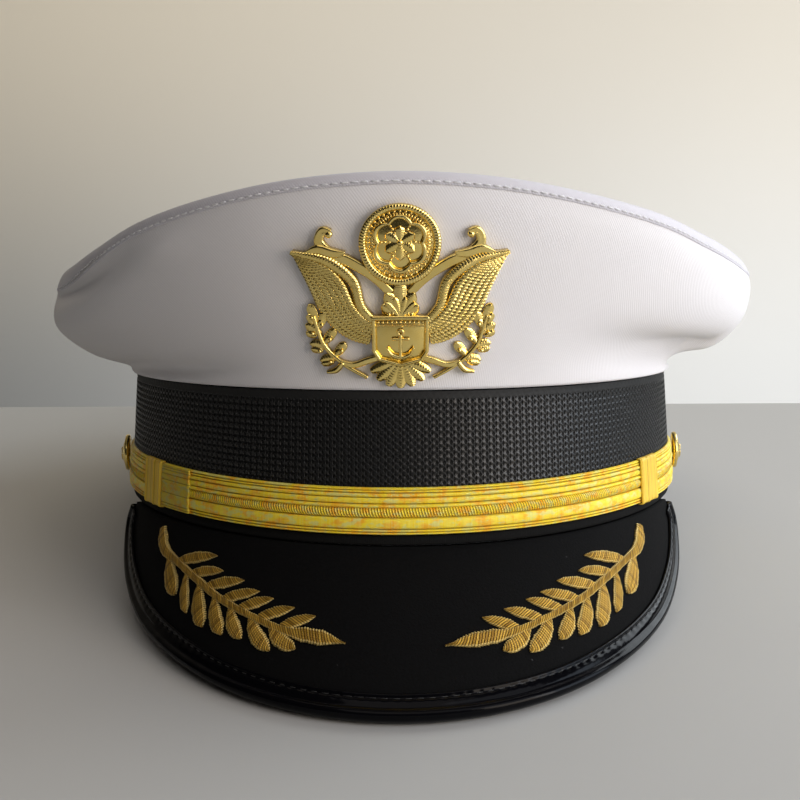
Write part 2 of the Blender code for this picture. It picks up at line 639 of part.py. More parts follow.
# badge: wings, medallion, shield, sprigs and shell fan, pierced between
def badge_flat():
    parts = []
    half = []
    bone = np.array(WING_BONE)
    half.append(stroke(bone[:, :2], bone[:, 2], 1.5, 2.4))
    for k, (ru, rv, tu, tv, w) in enumerate(WING_FEATHERS):
        lift = 0.04 * (k % 3)
        half.append(leaf((ru, rv), (tu, tv), w, 0.0, 1.6 + lift, bow=-0.35))
        mu, mv = ru + (tu - ru) * 0.55, rv + (tv - rv) * 0.55
        if k in (2, 4, 6):
            half.append(leaf((ru, rv), (mu, mv), w * 0.95, 0.0, 2.2 + lift, bottom=0.4))
    scroll = np.array(SCROLL)
    half.append(stroke(scroll[:, :2], scroll[:, 2], 0.0, 1.7))
    sprig = np.array(SPRIG_STEM)
    half.append(stroke(sprig[:, :2], sprig[:, 2], 0.0, 1.4))
    for k, (bu, bv, tu, tv, w) in enumerate(SPRIG_LEAVES):
        half.append(leaf((bu, bv), (tu, tv), w, 0.0, 1.2 + 0.03 * (k % 2), bow=0.15))
    half.append(stroke([(5.0, 10.6), (8.5, 9.4), (12.6, 8.2), (15.6, 9.2)], [0.8, 0.9, 0.8, 0.6],
                       1.0, 1.5))
    for part in half:
        parts += [part, mirrored(part)]
    # medallion: plate, rolled rim, lobed ring, rosette petals
    a = np.radians(np.arange(0, 360, 20))
    parts.append(pad(np.column_stack([(DISC[0] - 0.3) * np.cos(a), DISC[1] + (DISC[0] - 0.3) * np.sin(a)]), 1.3))
    parts.append(hoop(0, DISC[1], DISC[0] - 1.7, DISC[0], 2.3, 18, 0.4))
    parts.append(hoop(0, DISC[1], 5.0, 5.9, 2.0, 18, 0.6, 6, 0.22))
    for k in range(6):
        t = math.radians(60 * k + 30)
        parts.append(leaf((0.2 * math.cos(t), DISC[1] + 0.2 * math.sin(t)),
                          (4.2 * math.cos(t), DISC[1] + 4.2 * math.sin(t)), 1.3, 0.0,
                          2.1 + 0.01 * k, bottom=0.7))
    # palmette between medallion and shield
    for k, (t, size) in enumerate(((-58, 5.4), (-30, 7.0), (0, 9.2), (30, 7.0), (58, 5.4))):
        q = math.radians(t)
        parts.append(leaf((0.3 * math.sin(q), 21.5), (size * math.sin(q),
                          21.5 + size * math.cos(q)), 1.45, 0.0, 2.3 + 0.02 * k))
    # shield with a raised border and a small anchor
    edge = [(-6.9, 21.6), (-6.9, 12.6), (-5.6, 10.4), (0, 8.6), (5.6, 10.4), (6.9, 12.6),
            (6.9, 21.6)]
    parts.append(pad(edge[::-1], 1.9))
    parts.append(stroke([(-7.2, 21.3), (7.2, 21.3)], [0.6, 0.6], 2.3, 2.7, 0.5))
    parts.append(stroke([(-6.7, 21.6), (-6.7, 12.6), (-5.3, 10.2), (0, 8.5)],
                        [0.5, 0.5, 0.5, 0.5], 2.2, 2.6, 0.5))
    parts.append(stroke([(0, 8.5), (5.3, 10.2), (6.7, 12.6), (6.7, 21.6)],
                        [0.5, 0.5, 0.5, 0.5], 2.22, 2.62, 0.5))
    parts.append(stroke([(0, 10.7), (0, 18.3)], [0.45, 0.4], 2.5, 2.8, 1.0))
    parts.append(stroke([(-2.2, 16.9), (2.2, 16.9)], [0.35, 0.35], 2.45, 2.7, 1.0))
    parts.append(stroke([(-3.4, 13.6), (-2.2, 11.6), (0, 10.8), (2.2, 11.6), (3.4, 13.6)],
                        [0.2, 0.5, 0.55, 0.5, 0.2], 2.55, 2.85, 1.0))
    parts.append(hoop(0, 19.0, 0.35, 1.0, 2.75, 8, 1.0))
    # shell fan below the shield
    for k, t in enumerate(FAN_ANGLES):
        q = math.radians(t)
        parts.append(leaf((0.8 * math.sin(q), 9.8 - 0.8 * math.cos(q)),
                          (8.4 * math.sin(q), 9.8 - 8.6 * math.cos(q)), 1.6, 0.0,
                          1.9 + 0.02 * k))
    parts.append(hoop(0, 9.6, 0.6, 5.2, 1.1, 12, 0.25))
    return fused(parts)


def on_crown(u, v, out):
    """Point over the front of the crown: u round from the middle, v up from the band."""
    length = np.linalg.norm(np.diff(crown_point(np.zeros(41), np.linspace(0, 1, 41)), axis=0),
                            axis=1).sum()
    s = v / length
    foot = BAND_HALF_WIDTH - BAND_TAPER
    phi = np.degrees(u / (foot + (RIM_HALF_WIDTH - foot) * (0.05 + 0.95 * s)))
    e = 1e-3
    run = crown_point(phi + 0.1, s) - crown_point(phi - 0.1, s)
    rise = crown_point(phi, s + e) - crown_point(phi, s - e)
    n = np.cross(run, rise)
    n /= np.linalg.norm(n, axis=-1, keepdims=True)
    return crown_point(phi, s) + n * np.asarray(out, float)[..., None]


def badge():
    flat = badge_flat()
    out = BADGE_LIFT + flat.verts[:, 2]
    return Body(on_crown(flat.verts[:, 0], flat.verts[:, 1], out), flat.faces)


POST = (16.0, 1.5, 5.0)   # height on the crown, radius of post, radius of its inner flange


def round_bar(v, section):
    """Turned body square to the crown's front, from pairs of radius and depth."""
    c, n = on_crown(0.0, v, 0.0), on_crown(0.0, v, 1.0) - on_crown(0.0, v, 0.0)
    across = np.array([1.0, 0.0, 0.0])
    up = np.cross(n, across)
    a = np.linspace(0, 2 * math.pi, 12, endpoint=False)
    rings = np.array([c + n * h + r * (np.cos(a)[:, None] * across + np.sin(a)[:, None] * up)
                      for r, h in section])
    top, bottom = c + n * section[0][1], c + n * section[-1][1]
    return Body(*lathe(rings[::-1], rings[-1:], top, bottom))


def badge_post():
    v, r, flange = POST
    return round_bar(v, [(r, 0.0), (r, -CLOTH - 0.4), (flange, -CLOTH - 0.4),
                         (flange, -CLOTH - 1.4)])


def post_hole():
    v, r, flange = POST
    return round_bar(v, [(r + GAP, 3.0), (r + GAP, -6.0)])


COLOURS = {
    # name: base colour, metal, roughness
    "white cloth": ((0.83, 0.82, 0.86), 0.0, 0.75),
    "black mesh": ((0.018, 0.018, 0.02), 0.0, 0.6),
    "black cloth": ((0.015, 0.015, 0.017), 0.0, 0.85),
    "gold braid": ((0.86, 0.56, 0.10), 0.55, 0.38),
    "gilt metal": ((0.90, 0.66, 0.20), 1.0, 0.22),
    "gold thread": ((0.55, 0.36, 0.11), 0.25, 0.5),
    "patent leather": ((0.01, 0.01, 0.012), 0.0, 0.12),
}


def material(name):
    found = bpy.data.materials.get(name)
    if found:
        return found
    colour, metal, rough = COLOURS[name]
    mat = bpy.data.materials.new(name)
    mat.use_nodes = True
    shader = mat.node_tree.nodes["Principled BSDF"]
    shader.inputs["Base Color"].default_value = (*colour, 1.0)
    shader.inputs["Metallic"].default_value = metal
    shader.inputs["Roughness"].default_value = rough
    mat.diffuse_color = (*colour, 1.0)
    return mat


def lowest(verts, tilt):
    return (-verts[:, 1] * math.sin(tilt) + verts[:, 2] * math.cos(tilt)).min()


def resting_tilt(front, back):
    """Tip of the cap at which its peak and the back of its band touch the table."""
    low, high = 0.0, math.radians(20)
    for _ in range(40):
        mid = (low + high) / 2
        if lowest(front, mid) < lowest(back, mid):
            low = mid
        else:
            high = mid
    return (low + high) / 2


def main():
    for ob in list(bpy.data.objects):
        bpy.data.objects.remove(ob)
    side = boolean(crown_side(), post_hole(), "DIFFERENCE")
    pieces = [
        ("crown_side", side, "white cloth"),
        ("crown_top", crown_top(), "white cloth"),
        ("band_core", band_core(), "black cloth"),
        ("mesh_band", mesh_band(), "black mesh"),
        ("chin_strap", chin_strap(), "gold braid"),
        ("slide_left", slide(-1), "gold braid"),
        ("slide_right", slide(1), "gold braid"),
        ("button_left", button(-1), "gilt metal"),
        ("button_right", button(1), "gilt metal"),
        ("visor", visor(), "black cloth"),
        ("visor_binding", visor_binding(), "patent leather"),
        ("spray_left", spray(-1), "gold thread"),
        ("spray_right", spray(1), "gold thread"),
        ("badge", badge(), "gilt metal"),
        ("badge_post", badge_post(), "gilt metal"),
    ]
    named = {name: body for name, body, _ in pieces}
    tilt = resting_tilt(named["visor_binding"].verts, named["band_core"].verts)
    c, s = math.cos(tilt), math.sin(tilt)
    every = np.concatenate([body.verts for body in named.values()])
    turned = np.column_stack([every[:, 0], every[:, 1] * c + every[:, 2] * s,
                              -every[:, 1] * s + every[:, 2] * c])
    low, high = turned.min(0), turned.max(0)
    root = bpy.data.objects.new("peaked_cap", None)
    bpy.context.scene.collection.objects.link(root)
    root.rotation_euler = (-tilt, 0.0, 0.0)
    root.location = (-0.0005 * (low[0] + high[0]), -0.0005 * (low[1] + high[1]), -0.001 * low[2])
    for name, body, look in pieces:
        body.verts = body.verts * 0.001
        ob = mesh_object(name, body)
        bm = bmesh.new()
        bm.from_mesh(ob.data)
        bmesh.ops.recalc_face_normals(bm, faces=bm.faces)
        bm.to_mesh(ob.data)
        bm.free()
        ob.data.shade_smooth()
        ob.data.set_sharp_from_angle(angle=math.radians(32))
        ob.data.materials.append(material(look))
        ob.parent = root


main()
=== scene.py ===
import bpy
import bmesh
import math
import numpy as np
from mathutils import Matrix, Vector


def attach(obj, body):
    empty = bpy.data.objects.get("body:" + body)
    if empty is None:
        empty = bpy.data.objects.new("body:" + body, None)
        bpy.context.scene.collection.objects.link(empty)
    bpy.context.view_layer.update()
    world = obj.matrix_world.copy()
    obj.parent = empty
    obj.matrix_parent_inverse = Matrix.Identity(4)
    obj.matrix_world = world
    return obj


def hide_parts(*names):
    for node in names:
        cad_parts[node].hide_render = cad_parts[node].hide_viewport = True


# Looks of the peaked cap. Sizes are millimetres in the frame of the head band, as in the
# part's source: x right, y back, z up from the band's lower edge. "placed" tips them back
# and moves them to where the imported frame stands.
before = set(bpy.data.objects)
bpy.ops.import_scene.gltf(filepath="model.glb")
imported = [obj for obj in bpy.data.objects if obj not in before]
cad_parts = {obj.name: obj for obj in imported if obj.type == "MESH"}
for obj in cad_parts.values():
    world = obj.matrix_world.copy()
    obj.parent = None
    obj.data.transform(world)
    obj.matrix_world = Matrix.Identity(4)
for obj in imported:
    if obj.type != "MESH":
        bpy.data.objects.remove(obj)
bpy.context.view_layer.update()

TILT = 0.175476
SHIFT = (0.0, -3.3024, 18.4004)

# sizes and tables of the shape
GAP, CLOTH = 0.3, 1.6
BAND_HALF_WIDTH, BAND_HALF_LENGTH = 89.0, 105.8
BAND_HEIGHT, BAND_TAPER, FRONT_DIP = 38.4, 2.4, 2.8
FOOT_HEIGHT, MESH_WALL, CORE_WALL = 3.0, 1.2, 2.5
STRAP_LOW, STRAP_HIGH, STRAP_END = 3.1, 15.7, 91.0
RIM_HALF_WIDTH, RIM_HALF_LENGTH, RIM_CENTRE = 112.9, 127.0, 9.0
VISOR_ROOT = (89.3, 106.1)
VISOR_BOARD, VISOR_SLOPE_FRONT, VISOR_SLOPE_SIDE = 2.4, 52.0, 80.0
SPRAY_LIFT, BADGE_LIFT = 0.05, 0.35
LOBE_ANGLE, LOBE_SPREAD = 84.0, 34.0       # where the crown's side lobes stand out most
CROWN_STEPS = 720
CROWN = [
    # angle  height  fold
    (0, 94.9, 0.00), (13, 93.5, 0.00), (30, 88.0, 0.10), (40, 83.5, 0.30), (50, 77.8, 0.58),
    (62, 73.0, 0.88), (90, 71.5, 1.00), (135, 68.5, 1.00), (180, 66.5, 1.00),
]
PROFILE = [
    # front out, up     side out, up
    (0.05, 0.00, 0.06, 0.00), (0.16, 0.13, 0.14, 0.075), (0.31, 0.27, 0.56, 0.18),
    (0.48, 0.42, 0.81, 0.30), (0.65, 0.57, 0.99, 0.45), (0.82, 0.73, 1.08, 0.62),
    (0.94, 0.87, 1.10, 0.81), (1.00, 1.00, 1.00, 1.00),
]
VISOR_EDGE = [
    # angle  width
    (0, 47.9), (10, 46.7), (18, 44.3), (25, 41.4), (32, 38.0), (40, 34.0), (48, 29.6),
    (55, 24.6), (60.5, 19.8), (64.8, 14.4), (67.6, 9.0), (68.3, 5.6), (68.0, 3.0), (67.5, 0.9),
]
SPRAY_STEM = [
    # round  down  half width
    (81.0, 2.9, 1.4), (79.4, 5.4, 2.2), (76.6, 8.0, 1.9), (72.6, 9.6, 1.4), (69.3, 10.3, 1.1),
    (61.0, 12.8, 1.05), (53.8, 15.3, 1.05), (46.8, 18.1, 1.0), (40.9, 20.1, 0.95),
    (34.4, 22.2, 0.9), (28.8, 24.1, 0.95), (23.6, 25.5, 1.3), (20.0, 26.0, 2.0),
    (15.6, 26.7, 1.9), (9.8, 27.8, 0.2),
]
SPRAY_LEAVES = [
    # base round, down   tip round, down   half width
    (67.5, 10.6, 52.1, 6.7, 2.1), (60.2, 13.1, 48.2, 10.6, 1.9), (52.6, 15.8, 40.4, 12.4, 2.1),
    (45.6, 18.5, 34.8, 14.9, 2.0), (39.6, 20.5, 30.4, 16.5, 2.0), (33.4, 22.5, 24.3, 18.6, 2.0),
    (27.0, 24.5, 18.7, 20.6, 2.0), (72.4, 9.9, 63.0, 19.8, 3.1), (61.6, 12.8, 56.0, 24.1, 2.0),
    (55.0, 15.0, 48.6, 26.9, 2.7), (48.0, 17.8, 41.8, 28.1, 2.4), (41.8, 20.0, 36.0, 28.5, 2.2),
    (35.2, 22.1, 27.9, 30.9, 2.3), (29.2, 24.1, 21.9, 29.9, 2.2),
]
DISC = (10.1, 39.4)
WING_BONE = [
    # u  v  half width
    (7.0, 20.6, 1.0), (9.6, 23.6, 1.2), (11.7, 30.4, 1.3), (17.3, 35.2, 1.3), (27.2, 38.5, 0.4),
]
WING_FEATHERS = [
    # root u, v   tip u, v   half width
    (20.5, 36.0, 25.0, 34.2, 0.9), (17.2, 34.6, 23.6, 31.4, 1.0), (14.6, 32.6, 22.2, 28.2, 1.1),
    (12.8, 30.4, 20.9, 24.9, 1.15), (11.8, 27.8, 19.1, 21.6, 1.15), (11.0, 25.4, 16.6, 18.7, 1.15),
    (9.8, 23.4, 13.6, 16.4, 1.15), (8.2, 21.6, 10.6, 15.0, 1.1), (6.6, 20.4, 7.9, 14.4, 1.0),
]
SCROLL = [
    # u  v  half width
    (2.4, 27.4, 0.8), (6.2, 31.2, 0.9), (12.5, 35.2, 0.9), (18.4, 38.0, 1.0), (20.1, 40.6, 0.9),
    (19.0, 43.0, 0.9), (17.2, 42.4, 0.7),
]
SPRIG_STEM = [
    # u  v  half width
    (8.6, 4.3, 0.5), (14.0, 7.9, 0.6), (19.6, 13.6, 0.55), (22.4, 22.0, 0.4),
]
SPRIG_LEAVES = [
    # base u, v   tip u, v   half width
    (22.0, 20.0, 23.4, 24.4, 1.0), (21.6, 18.6, 19.8, 22.4, 1.0), (21.0, 17.0, 24.3, 19.4, 1.0),
    (20.2, 14.6, 17.4, 18.0, 1.05), (19.2, 13.2, 23.2, 14.4, 1.05), (17.2, 11.2, 14.8, 14.2, 1.05),
    (16.4, 10.2, 20.6, 9.6, 1.05),
]
FAN_ANGLES = (-66, -44, -22, 0, 22, 44, 66)

# fine detail of the cloth, braid and stitching
MESH_PITCH, MESH_ROW = 2.2, 1.6
TWILL = 0.62
SEAM_LAP = 1.1            # lower edge of the rim's lap, down from the side's upper edge
SEAM_COVER = 0.8          # how far the lap covers the side
SEAM_STITCH = 2.6         # pitch of its topstitching
GIMP_PITCH = 0.77
THREAD = 0.68             # pitch of the satin stitches
PEAK_STITCH = 3.2         # pitch of the stitches in the peak's binding
WEAVE = "weave"           # UV map in millimetres, along and across each cloth

# braid from its lower to its upper edge: share of height, relief in millimetres
BRAID = [
    (0.000, 0.10), (0.010, 0.50), (0.028, 0.80), (0.046, 0.55), (0.057, 0.05),
    (0.068, 0.55), (0.088, 0.85), (0.108, 0.55), (0.120, 0.02),
    (0.134, 0.70), (0.165, 0.95), (0.240, 1.02), (0.315, 0.95), (0.346, 0.70), (0.362, 0.02),
    (0.380, 0.10), (0.470, 0.15), (0.558, 0.10),
    (0.570, 0.60), (0.590, 1.05), (0.610, 1.16), (0.632, 1.02), (0.646, 0.70), (0.657, 0.05),
    (0.670, 0.68), (0.690, 0.88), (0.725, 0.95), (0.760, 0.88), (0.780, 0.66), (0.791, 0.08),
    (0.803, 0.70), (0.820, 0.95), (0.845, 1.02), (0.866, 0.90), (0.877, 0.60), (0.886, 0.05),
    (0.897, 0.55), (0.914, 0.80), (0.931, 0.55), (0.942, 0.08),
    (0.952, 0.55), (0.970, 0.75), (0.988, 0.45), (1.000, 0.10),
]
# the braid's lines of painted shade where its ribs meet: share of its height, half width
BRAID_SHADE_LINES = [(0.010, 0.010), (0.057, 0.012), (0.120, 0.014), (0.362, 0.014), (0.657, 0.013),
               (0.791, 0.011), (0.886, 0.012), (0.942, 0.010)]
# patent binding: out across the peak's edge and up from its face
BINDING = [
    (-7.0, 0.25), (-6.95, 0.80), (-6.7, 1.05), (-6.4, 1.05), (-6.1, 0.85), (-5.7, 0.62),
    (-5.3, 0.85), (-4.8, 1.00), (-4.2, 1.03), (-3.6, 0.98), (-3.2, 0.92), (-2.9, 1.05),
    (-2.5, 1.38), (-2.0, 1.60), (-1.4, 1.62), (-0.9, 1.40), (-0.45, 0.95), (-0.12, 0.3),
    (0.0, -0.5), (-0.02, -1.3), (-0.15, -2.1), (-0.5, -2.9), (-1.1, -3.35), (-2.2, -3.5),
    (-4.5, -3.5), (-7.0, -3.5),
]
BINDING_INSIDE = [(-7.0, 0.2), (-4.0, 0.2), (-2.2, 0.2), (-1.6, 0.0), (-1.6, -1.2), (-1.6, -2.6),
                  (-7.0, -2.6)]


def curve(x, xs, ys):
    """Smooth curve through the rows of a table, flat at both ends."""
    xs, ys, x = (np.asarray(q, float) for q in (xs, ys, x))
    step = np.diff(xs)
    slope = np.diff(ys) / step
    m = np.zeros_like(ys)
    inner = (slope[:-1] * step[1:] + slope[1:] * step[:-1]) / (step[1:] + step[:-1])
    m[1:-1] = np.where(slope[:-1] * slope[1:] > 0, inner, 0.0)
    i = np.clip(np.searchsorted(xs, x, "right") - 1, 0, len(step) - 1)
    t = np.clip((x - xs[i]) / step[i], 0.0, 1.0)
    a, b = 2 * t**3 - 3 * t**2 + 1, t**3 - 2 * t**2 + t
    c, d = -2 * t**3 + 3 * t**2, t**3 - t**2
    return a * ys[i] + b * step[i] * m[i] + c * ys[i + 1] + d * step[i] * m[i + 1]


def spline(x, xs, ys):
    """Smooth curve through the rows of a table, free at both ends."""
    xs, ys, x = (np.asarray(q, float) for q in (xs, ys, x))
    m = np.gradient(ys, xs)
    i = np.clip(np.searchsorted(xs, x, "right") - 1, 0, len(xs) - 2)
    h = xs[i + 1] - xs[i]
    t = (x - xs[i]) / h
    a, b = 2 * t**3 - 3 * t**2 + 1, t**3 - 2 * t**2 + t
    c, d = -2 * t**3 + 3 * t**2, t**3 - t**2
    return a * ys[i] + b * h * m[i] + c * ys[i + 1] + d * h * m[i + 1]


def folded(phi):
    """Oval angle as a size from 0 at the front to 180 at the back."""
    return np.abs((np.asarray(phi, float) + 180.0) % 360.0 - 180.0)


def lower_edge(phi):
    return -FRONT_DIP * np.maximum(np.cos(np.radians(phi)), 0.0)**2


def unit(v):
    return v / np.linalg.norm(v, axis=-1, keepdims=True)


def band_point(phi, z, out):
    """Point on the band's outside, moved out by a distance square to the oval."""
    p = np.radians(phi)
    hang = lower_edge(phi) * np.clip((BAND_HEIGHT - z) / (BAND_HEIGHT - 17.0), 0.0, 1.0)
    a = BAND_HALF_WIDTH - BAND_TAPER * z / BAND_HEIGHT
    b = BAND_HALF_LENGTH - BAND_TAPER * z / BAND_HEIGHT
    nx, ny = np.sin(p) / a, -np.cos(p) / b
    size = np.hypot(nx, ny)
    return np.stack(np.broadcast_arrays(a * np.sin(p) + out * nx / size,
                                        -b * np.cos(p) + out * ny / size, z + hang), -1)


def right_swell(phi):
    """How much higher the crown's rim stands over its right lobe than over the left."""
    phi = (np.asarray(phi, float) + 180.0) % 360.0 - 180.0
    return 3.8 * np.exp(-((phi - 62.0) / 24.0)**2)


def crown_point(phi, s):
    """Point on the outside of the crown; s runs 0 to 1 from the band to the rim."""
    angle = folded(phi)
    rows = np.array(CROWN)
    top = curve(angle, rows[:, 0], rows[:, 1]) - CLOTH - GAP + right_swell(phi)
    fold = curve(angle, rows[:, 0], rows[:, 2])
    prof = np.array(PROFILE)
    u = np.linspace(0, 1, len(prof))
    k = [spline(s, u, prof[:, i]) for i in range(4)]
    out, up = k[0] + (k[2] - k[0]) * fold, k[1] + (k[3] - k[1]) * fold
    foot = band_point(phi, BAND_HEIGHT, 0.0)
    p = np.radians(phi)
    x = foot[..., 0] + (RIM_HALF_WIDTH * np.sin(p) - foot[..., 0]) * out
    y = foot[..., 1] + (RIM_CENTRE - RIM_HALF_LENGTH * np.cos(p) - foot[..., 1]) * out
    low = BAND_HEIGHT + GAP
    return np.stack(np.broadcast_arrays(x, y, low + (top - low) * up), -1)


def crown_normal(phi, s):
    e = 1e-3
    run = crown_point(phi + 0.1, s) - crown_point(phi - 0.1, s)
    rise = crown_point(phi, s + e) - crown_point(phi, s - e)
    return unit(np.cross(run, rise))


def visor_base(phi, w):
    """Point on the peak's upper face, w millimetres down from the band."""
    a, b = VISOR_ROOT
    p = np.radians(phi)
    nx, ny = np.sin(p) / a, -np.cos(p) / b
    size = np.hypot(nx, ny)
    turn = VISOR_SLOPE_SIDE - VISOR_SLOPE_FRONT
    s = np.radians(VISOR_SLOPE_FRONT + turn * np.sin(p)**2)
    x = a * np.sin(p) + w * np.cos(s) * nx / size
    y = -b * np.cos(p) + w * np.cos(s) * ny / size
    return np.stack(np.broadcast_arrays(x, y, lower_edge(phi) - GAP - w * np.sin(s)), -1)


def visor_frame(phi, w):
    """Face directions of the peak: round per degree, down per millimetre, and square out."""
    e = 0.05
    round_ = (visor_base(phi + e, w) - visor_base(phi - e, w)) / (2 * e)
    down = (visor_base(phi, w + e) - visor_base(phi, w - e)) / (2 * e)
    return round_, down, unit(np.cross(down, round_))


def visor_point(phi, w, up):
    """Point at a height over the peak's upper face."""
    return visor_base(phi, w) + np.asarray(up, float)[..., None] * visor_frame(phi, w)[2]


def visor_edge(count):
    """Outer edge of the peak from left to right: oval angles and widths."""
    rows = np.array(VISOR_EDGE, float)
    walk = np.hypot(np.diff(rows[:, 0]) * 1.65, np.diff(rows[:, 1]))
    walk = np.concatenate([[0], np.cumsum(walk)])
    t = np.linspace(-walk[-1], walk[-1], count)
    both = np.concatenate([-walk[:0:-1], walk])
    phi = spline(t, both, np.concatenate([-rows[:0:-1, 0], rows[:, 0]]))
    w = spline(t, both, np.concatenate([rows[:0:-1, 1], rows[:, 1]]))
    return phi, w


def edge_shift(phi, w, out):
    """Places on the peak's face at a distance inside its outer edge."""
    line = visor_base(phi, w)
    run = unit(np.gradient(line, axis=0))
    round_, down, n = visor_frame(phi, w)
    side = np.cross(run, n)
    g11, g12 = (round_ * round_).sum(1), (round_ * down).sum(1)
    g22 = (down * down).sum(1)
    r1, r2 = (round_ * side).sum(1), (down * side).sum(1)
    det = g11 * g22 - g12 * g12
    dphi, dw = (g22 * r1 - g12 * r2) / det, (g11 * r2 - g12 * r1) / det
    if dw[len(dw) // 2] < 0:
        dphi, dw = -dphi, -dw
    return phi + out * dphi, w + out * dw


def oval_angle(distance):
    """Oval angle at a distance round the peak's root from the middle."""
    a, b = VISOR_ROOT
    t = np.linspace(0, 90, 361)
    line = np.column_stack([a * np.sin(np.radians(t)), -b * np.cos(np.radians(t))])
    return np.interp(distance, walked(line), t)


def walked(line):
    """Distance walked along a line at each of its points."""
    return np.concatenate([[0], np.cumsum(np.linalg.norm(np.diff(line, axis=0), axis=1))])


def sampled(at, walk, line):
    """Points of a line at distances walked along it."""
    return np.stack([np.interp(at, walk, row) for row in line.T], 1)


def spread(along, across):
    """Weave coordinates of a grid from the distances along and across it."""
    return np.stack(np.broadcast_arrays(np.asarray(along)[:, None], across), -1)


def angles(count, low=0.0, high=360.0):
    """Whole turn in even steps, in degrees."""
    return np.linspace(low, high, count, endpoint=False)


def mirror(p, side):
    return p * np.array([side, 1.0, 1.0])


def on_peak(flat, side):
    """Places laid out on the peak (round, down, up) put on its surface."""
    return mirror(visor_point(oval_angle(flat[:, 0]), flat[:, 1], SPRAY_LIFT + flat[:, 2]), side)


CROWN_LENGTH = walked(crown_point(np.zeros(41), np.linspace(0, 1, 41)))[-1]


def on_crown(flat):
    """Places laid out on the crown's front (right, up, out) put on its surface."""
    s = flat[:, 1] / CROWN_LENGTH
    foot = BAND_HALF_WIDTH - BAND_TAPER
    phi = np.degrees(flat[:, 0] / (foot + (RIM_HALF_WIDTH - foot) * (0.05 + 0.95 * s)))
    return crown_point(phi, s) + crown_normal(phi, s) * (BADGE_LIFT + flat[:, 2])[:, None]


def placed(p):
    """Millimetres in the band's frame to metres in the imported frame."""
    c, s = math.cos(TILT), math.sin(TILT)
    return np.stack([p[..., 0] + SHIFT[0], p[..., 1] * c + p[..., 2] * s + SHIFT[1],
                     p[..., 2] * c - p[..., 1] * s + SHIFT[2]], -1) * 0.001


class Shape:
    """Points, faces and weave coordinates gathered for one piece."""

    def __init__(self):
        self.verts, self.quads, self.uvs, self.caps, self.count = [], [], [], [], 0

    def grid(self, points, uv=None, loop_n=False, loop_m=False):
        """Quads over a grid; returns the grid of point numbers."""
        n, m = points.shape[:2]
        if uv is None:
            uv = np.zeros((n + 1, m + 1, 2))
        ids = np.arange(n * m).reshape(n, m) + self.count
        i = np.arange(n if loop_n else n - 1)[:, None]
        j = np.arange(m if loop_m else m - 1)[None, :]
        at = lambda a, b: ids[a % n, b % m]
        self.quads.append(np.stack([at(i, j), at(i + 1, j), at(i + 1, j + 1), at(i, j + 1)],
                                   -1).reshape(-1, 4))
        self.uvs.append(np.stack([uv[i, j], uv[i + 1, j], uv[i + 1, j + 1], uv[i, j + 1]],
                                 2).reshape(-1, 4, 2))
        self.verts.append(points.reshape(-1, 3))
        self.count += n * m
        return ids

    def add(self, other, side=1):
        """Another shape's points and faces, mirrored when side is -1."""
        self.verts += [mirror(v, side) for v in other.verts]
        self.quads += [q + self.count for q in other.quads]
        self.caps += [[c + self.count for c in cap] for cap in other.caps]
        self.uvs += other.uvs
        self.count += other.count

    def strip(self, a, b, loop=False):
        """Quads between two rows of points that exist."""
        if loop:
            a, b = np.append(a, a[0]), np.append(b, b[0])
        self.quads.append(np.stack([a[:-1], a[1:], b[1:], b[:-1]], -1))
        self.uvs.append(np.zeros((len(a) - 1, 4, 2)))

    def cap(self, ids):
        self.caps.append(list(ids))

    def wall(self, outer, inner, uv=None, loop=False):
        """Closed wall between two grids."""
        a, b = self.grid(outer, uv, loop), self.grid(inner, uv, loop)
        self.strip(a[:, 0], b[:, 0], loop)
        self.strip(a[:, -1], b[:, -1], loop)
        if not loop:
            self.strip(a[0], b[0])
            self.strip(a[-1], b[-1])
        return self

    def tube(self, rings, uv=None):
        """Closed tube through rings of points, capped at both ends."""
        ids = self.grid(rings, uv, False, True)
        self.cap(ids[0])
        self.cap(ids[-1][::-1])
        return self

    def build(self, name, look, replaces=(), bend=None):
        verts = np.concatenate(self.verts)
        verts = placed(bend(verts) if bend else verts)
        quads, uvs = np.concatenate(self.quads), np.concatenate(self.uvs)
        loops = np.concatenate([quads.ravel()] + [np.array(c) for c in self.caps])
        corner = np.zeros((len(loops), 2))
        corner[:quads.size] = uvs.reshape(-1, 2)
        sizes = np.array([4] * len(quads) + [len(c) for c in self.caps])
        mesh = bpy.data.meshes.new(name)
        mesh.vertices.add(len(verts))
        mesh.vertices.foreach_set("co", verts.ravel())
        mesh.loops.add(len(loops))
        mesh.loops.foreach_set("vertex_index", loops.astype(np.int32))
        mesh.polygons.add(len(sizes))
        mesh.polygons.foreach_set("loop_start", (np.cumsum(sizes) - sizes).astype(np.int32))
        mesh.update(calc_edges=True)
        layer = mesh.uv_layers.new(name=WEAVE)
        layer.uv.foreach_set("vector", corner.astype(np.float32).ravel())
        mesh.validate()
        bm = bmesh.new()
        bm.from_mesh(mesh)
        bmesh.ops.recalc_face_normals(bm, faces=bm.faces)
        bm.to_mesh(mesh)
        bm.free()
        mesh.shade_smooth()
        look, slot = LOOKS[look]
        mesh.materials.append(look)
        ob = bpy.data.objects.new(name, mesh)
        bpy.context.scene.collection.objects.link(ob)
        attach(ob, "root")
        if replaces:
            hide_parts(*replaces)


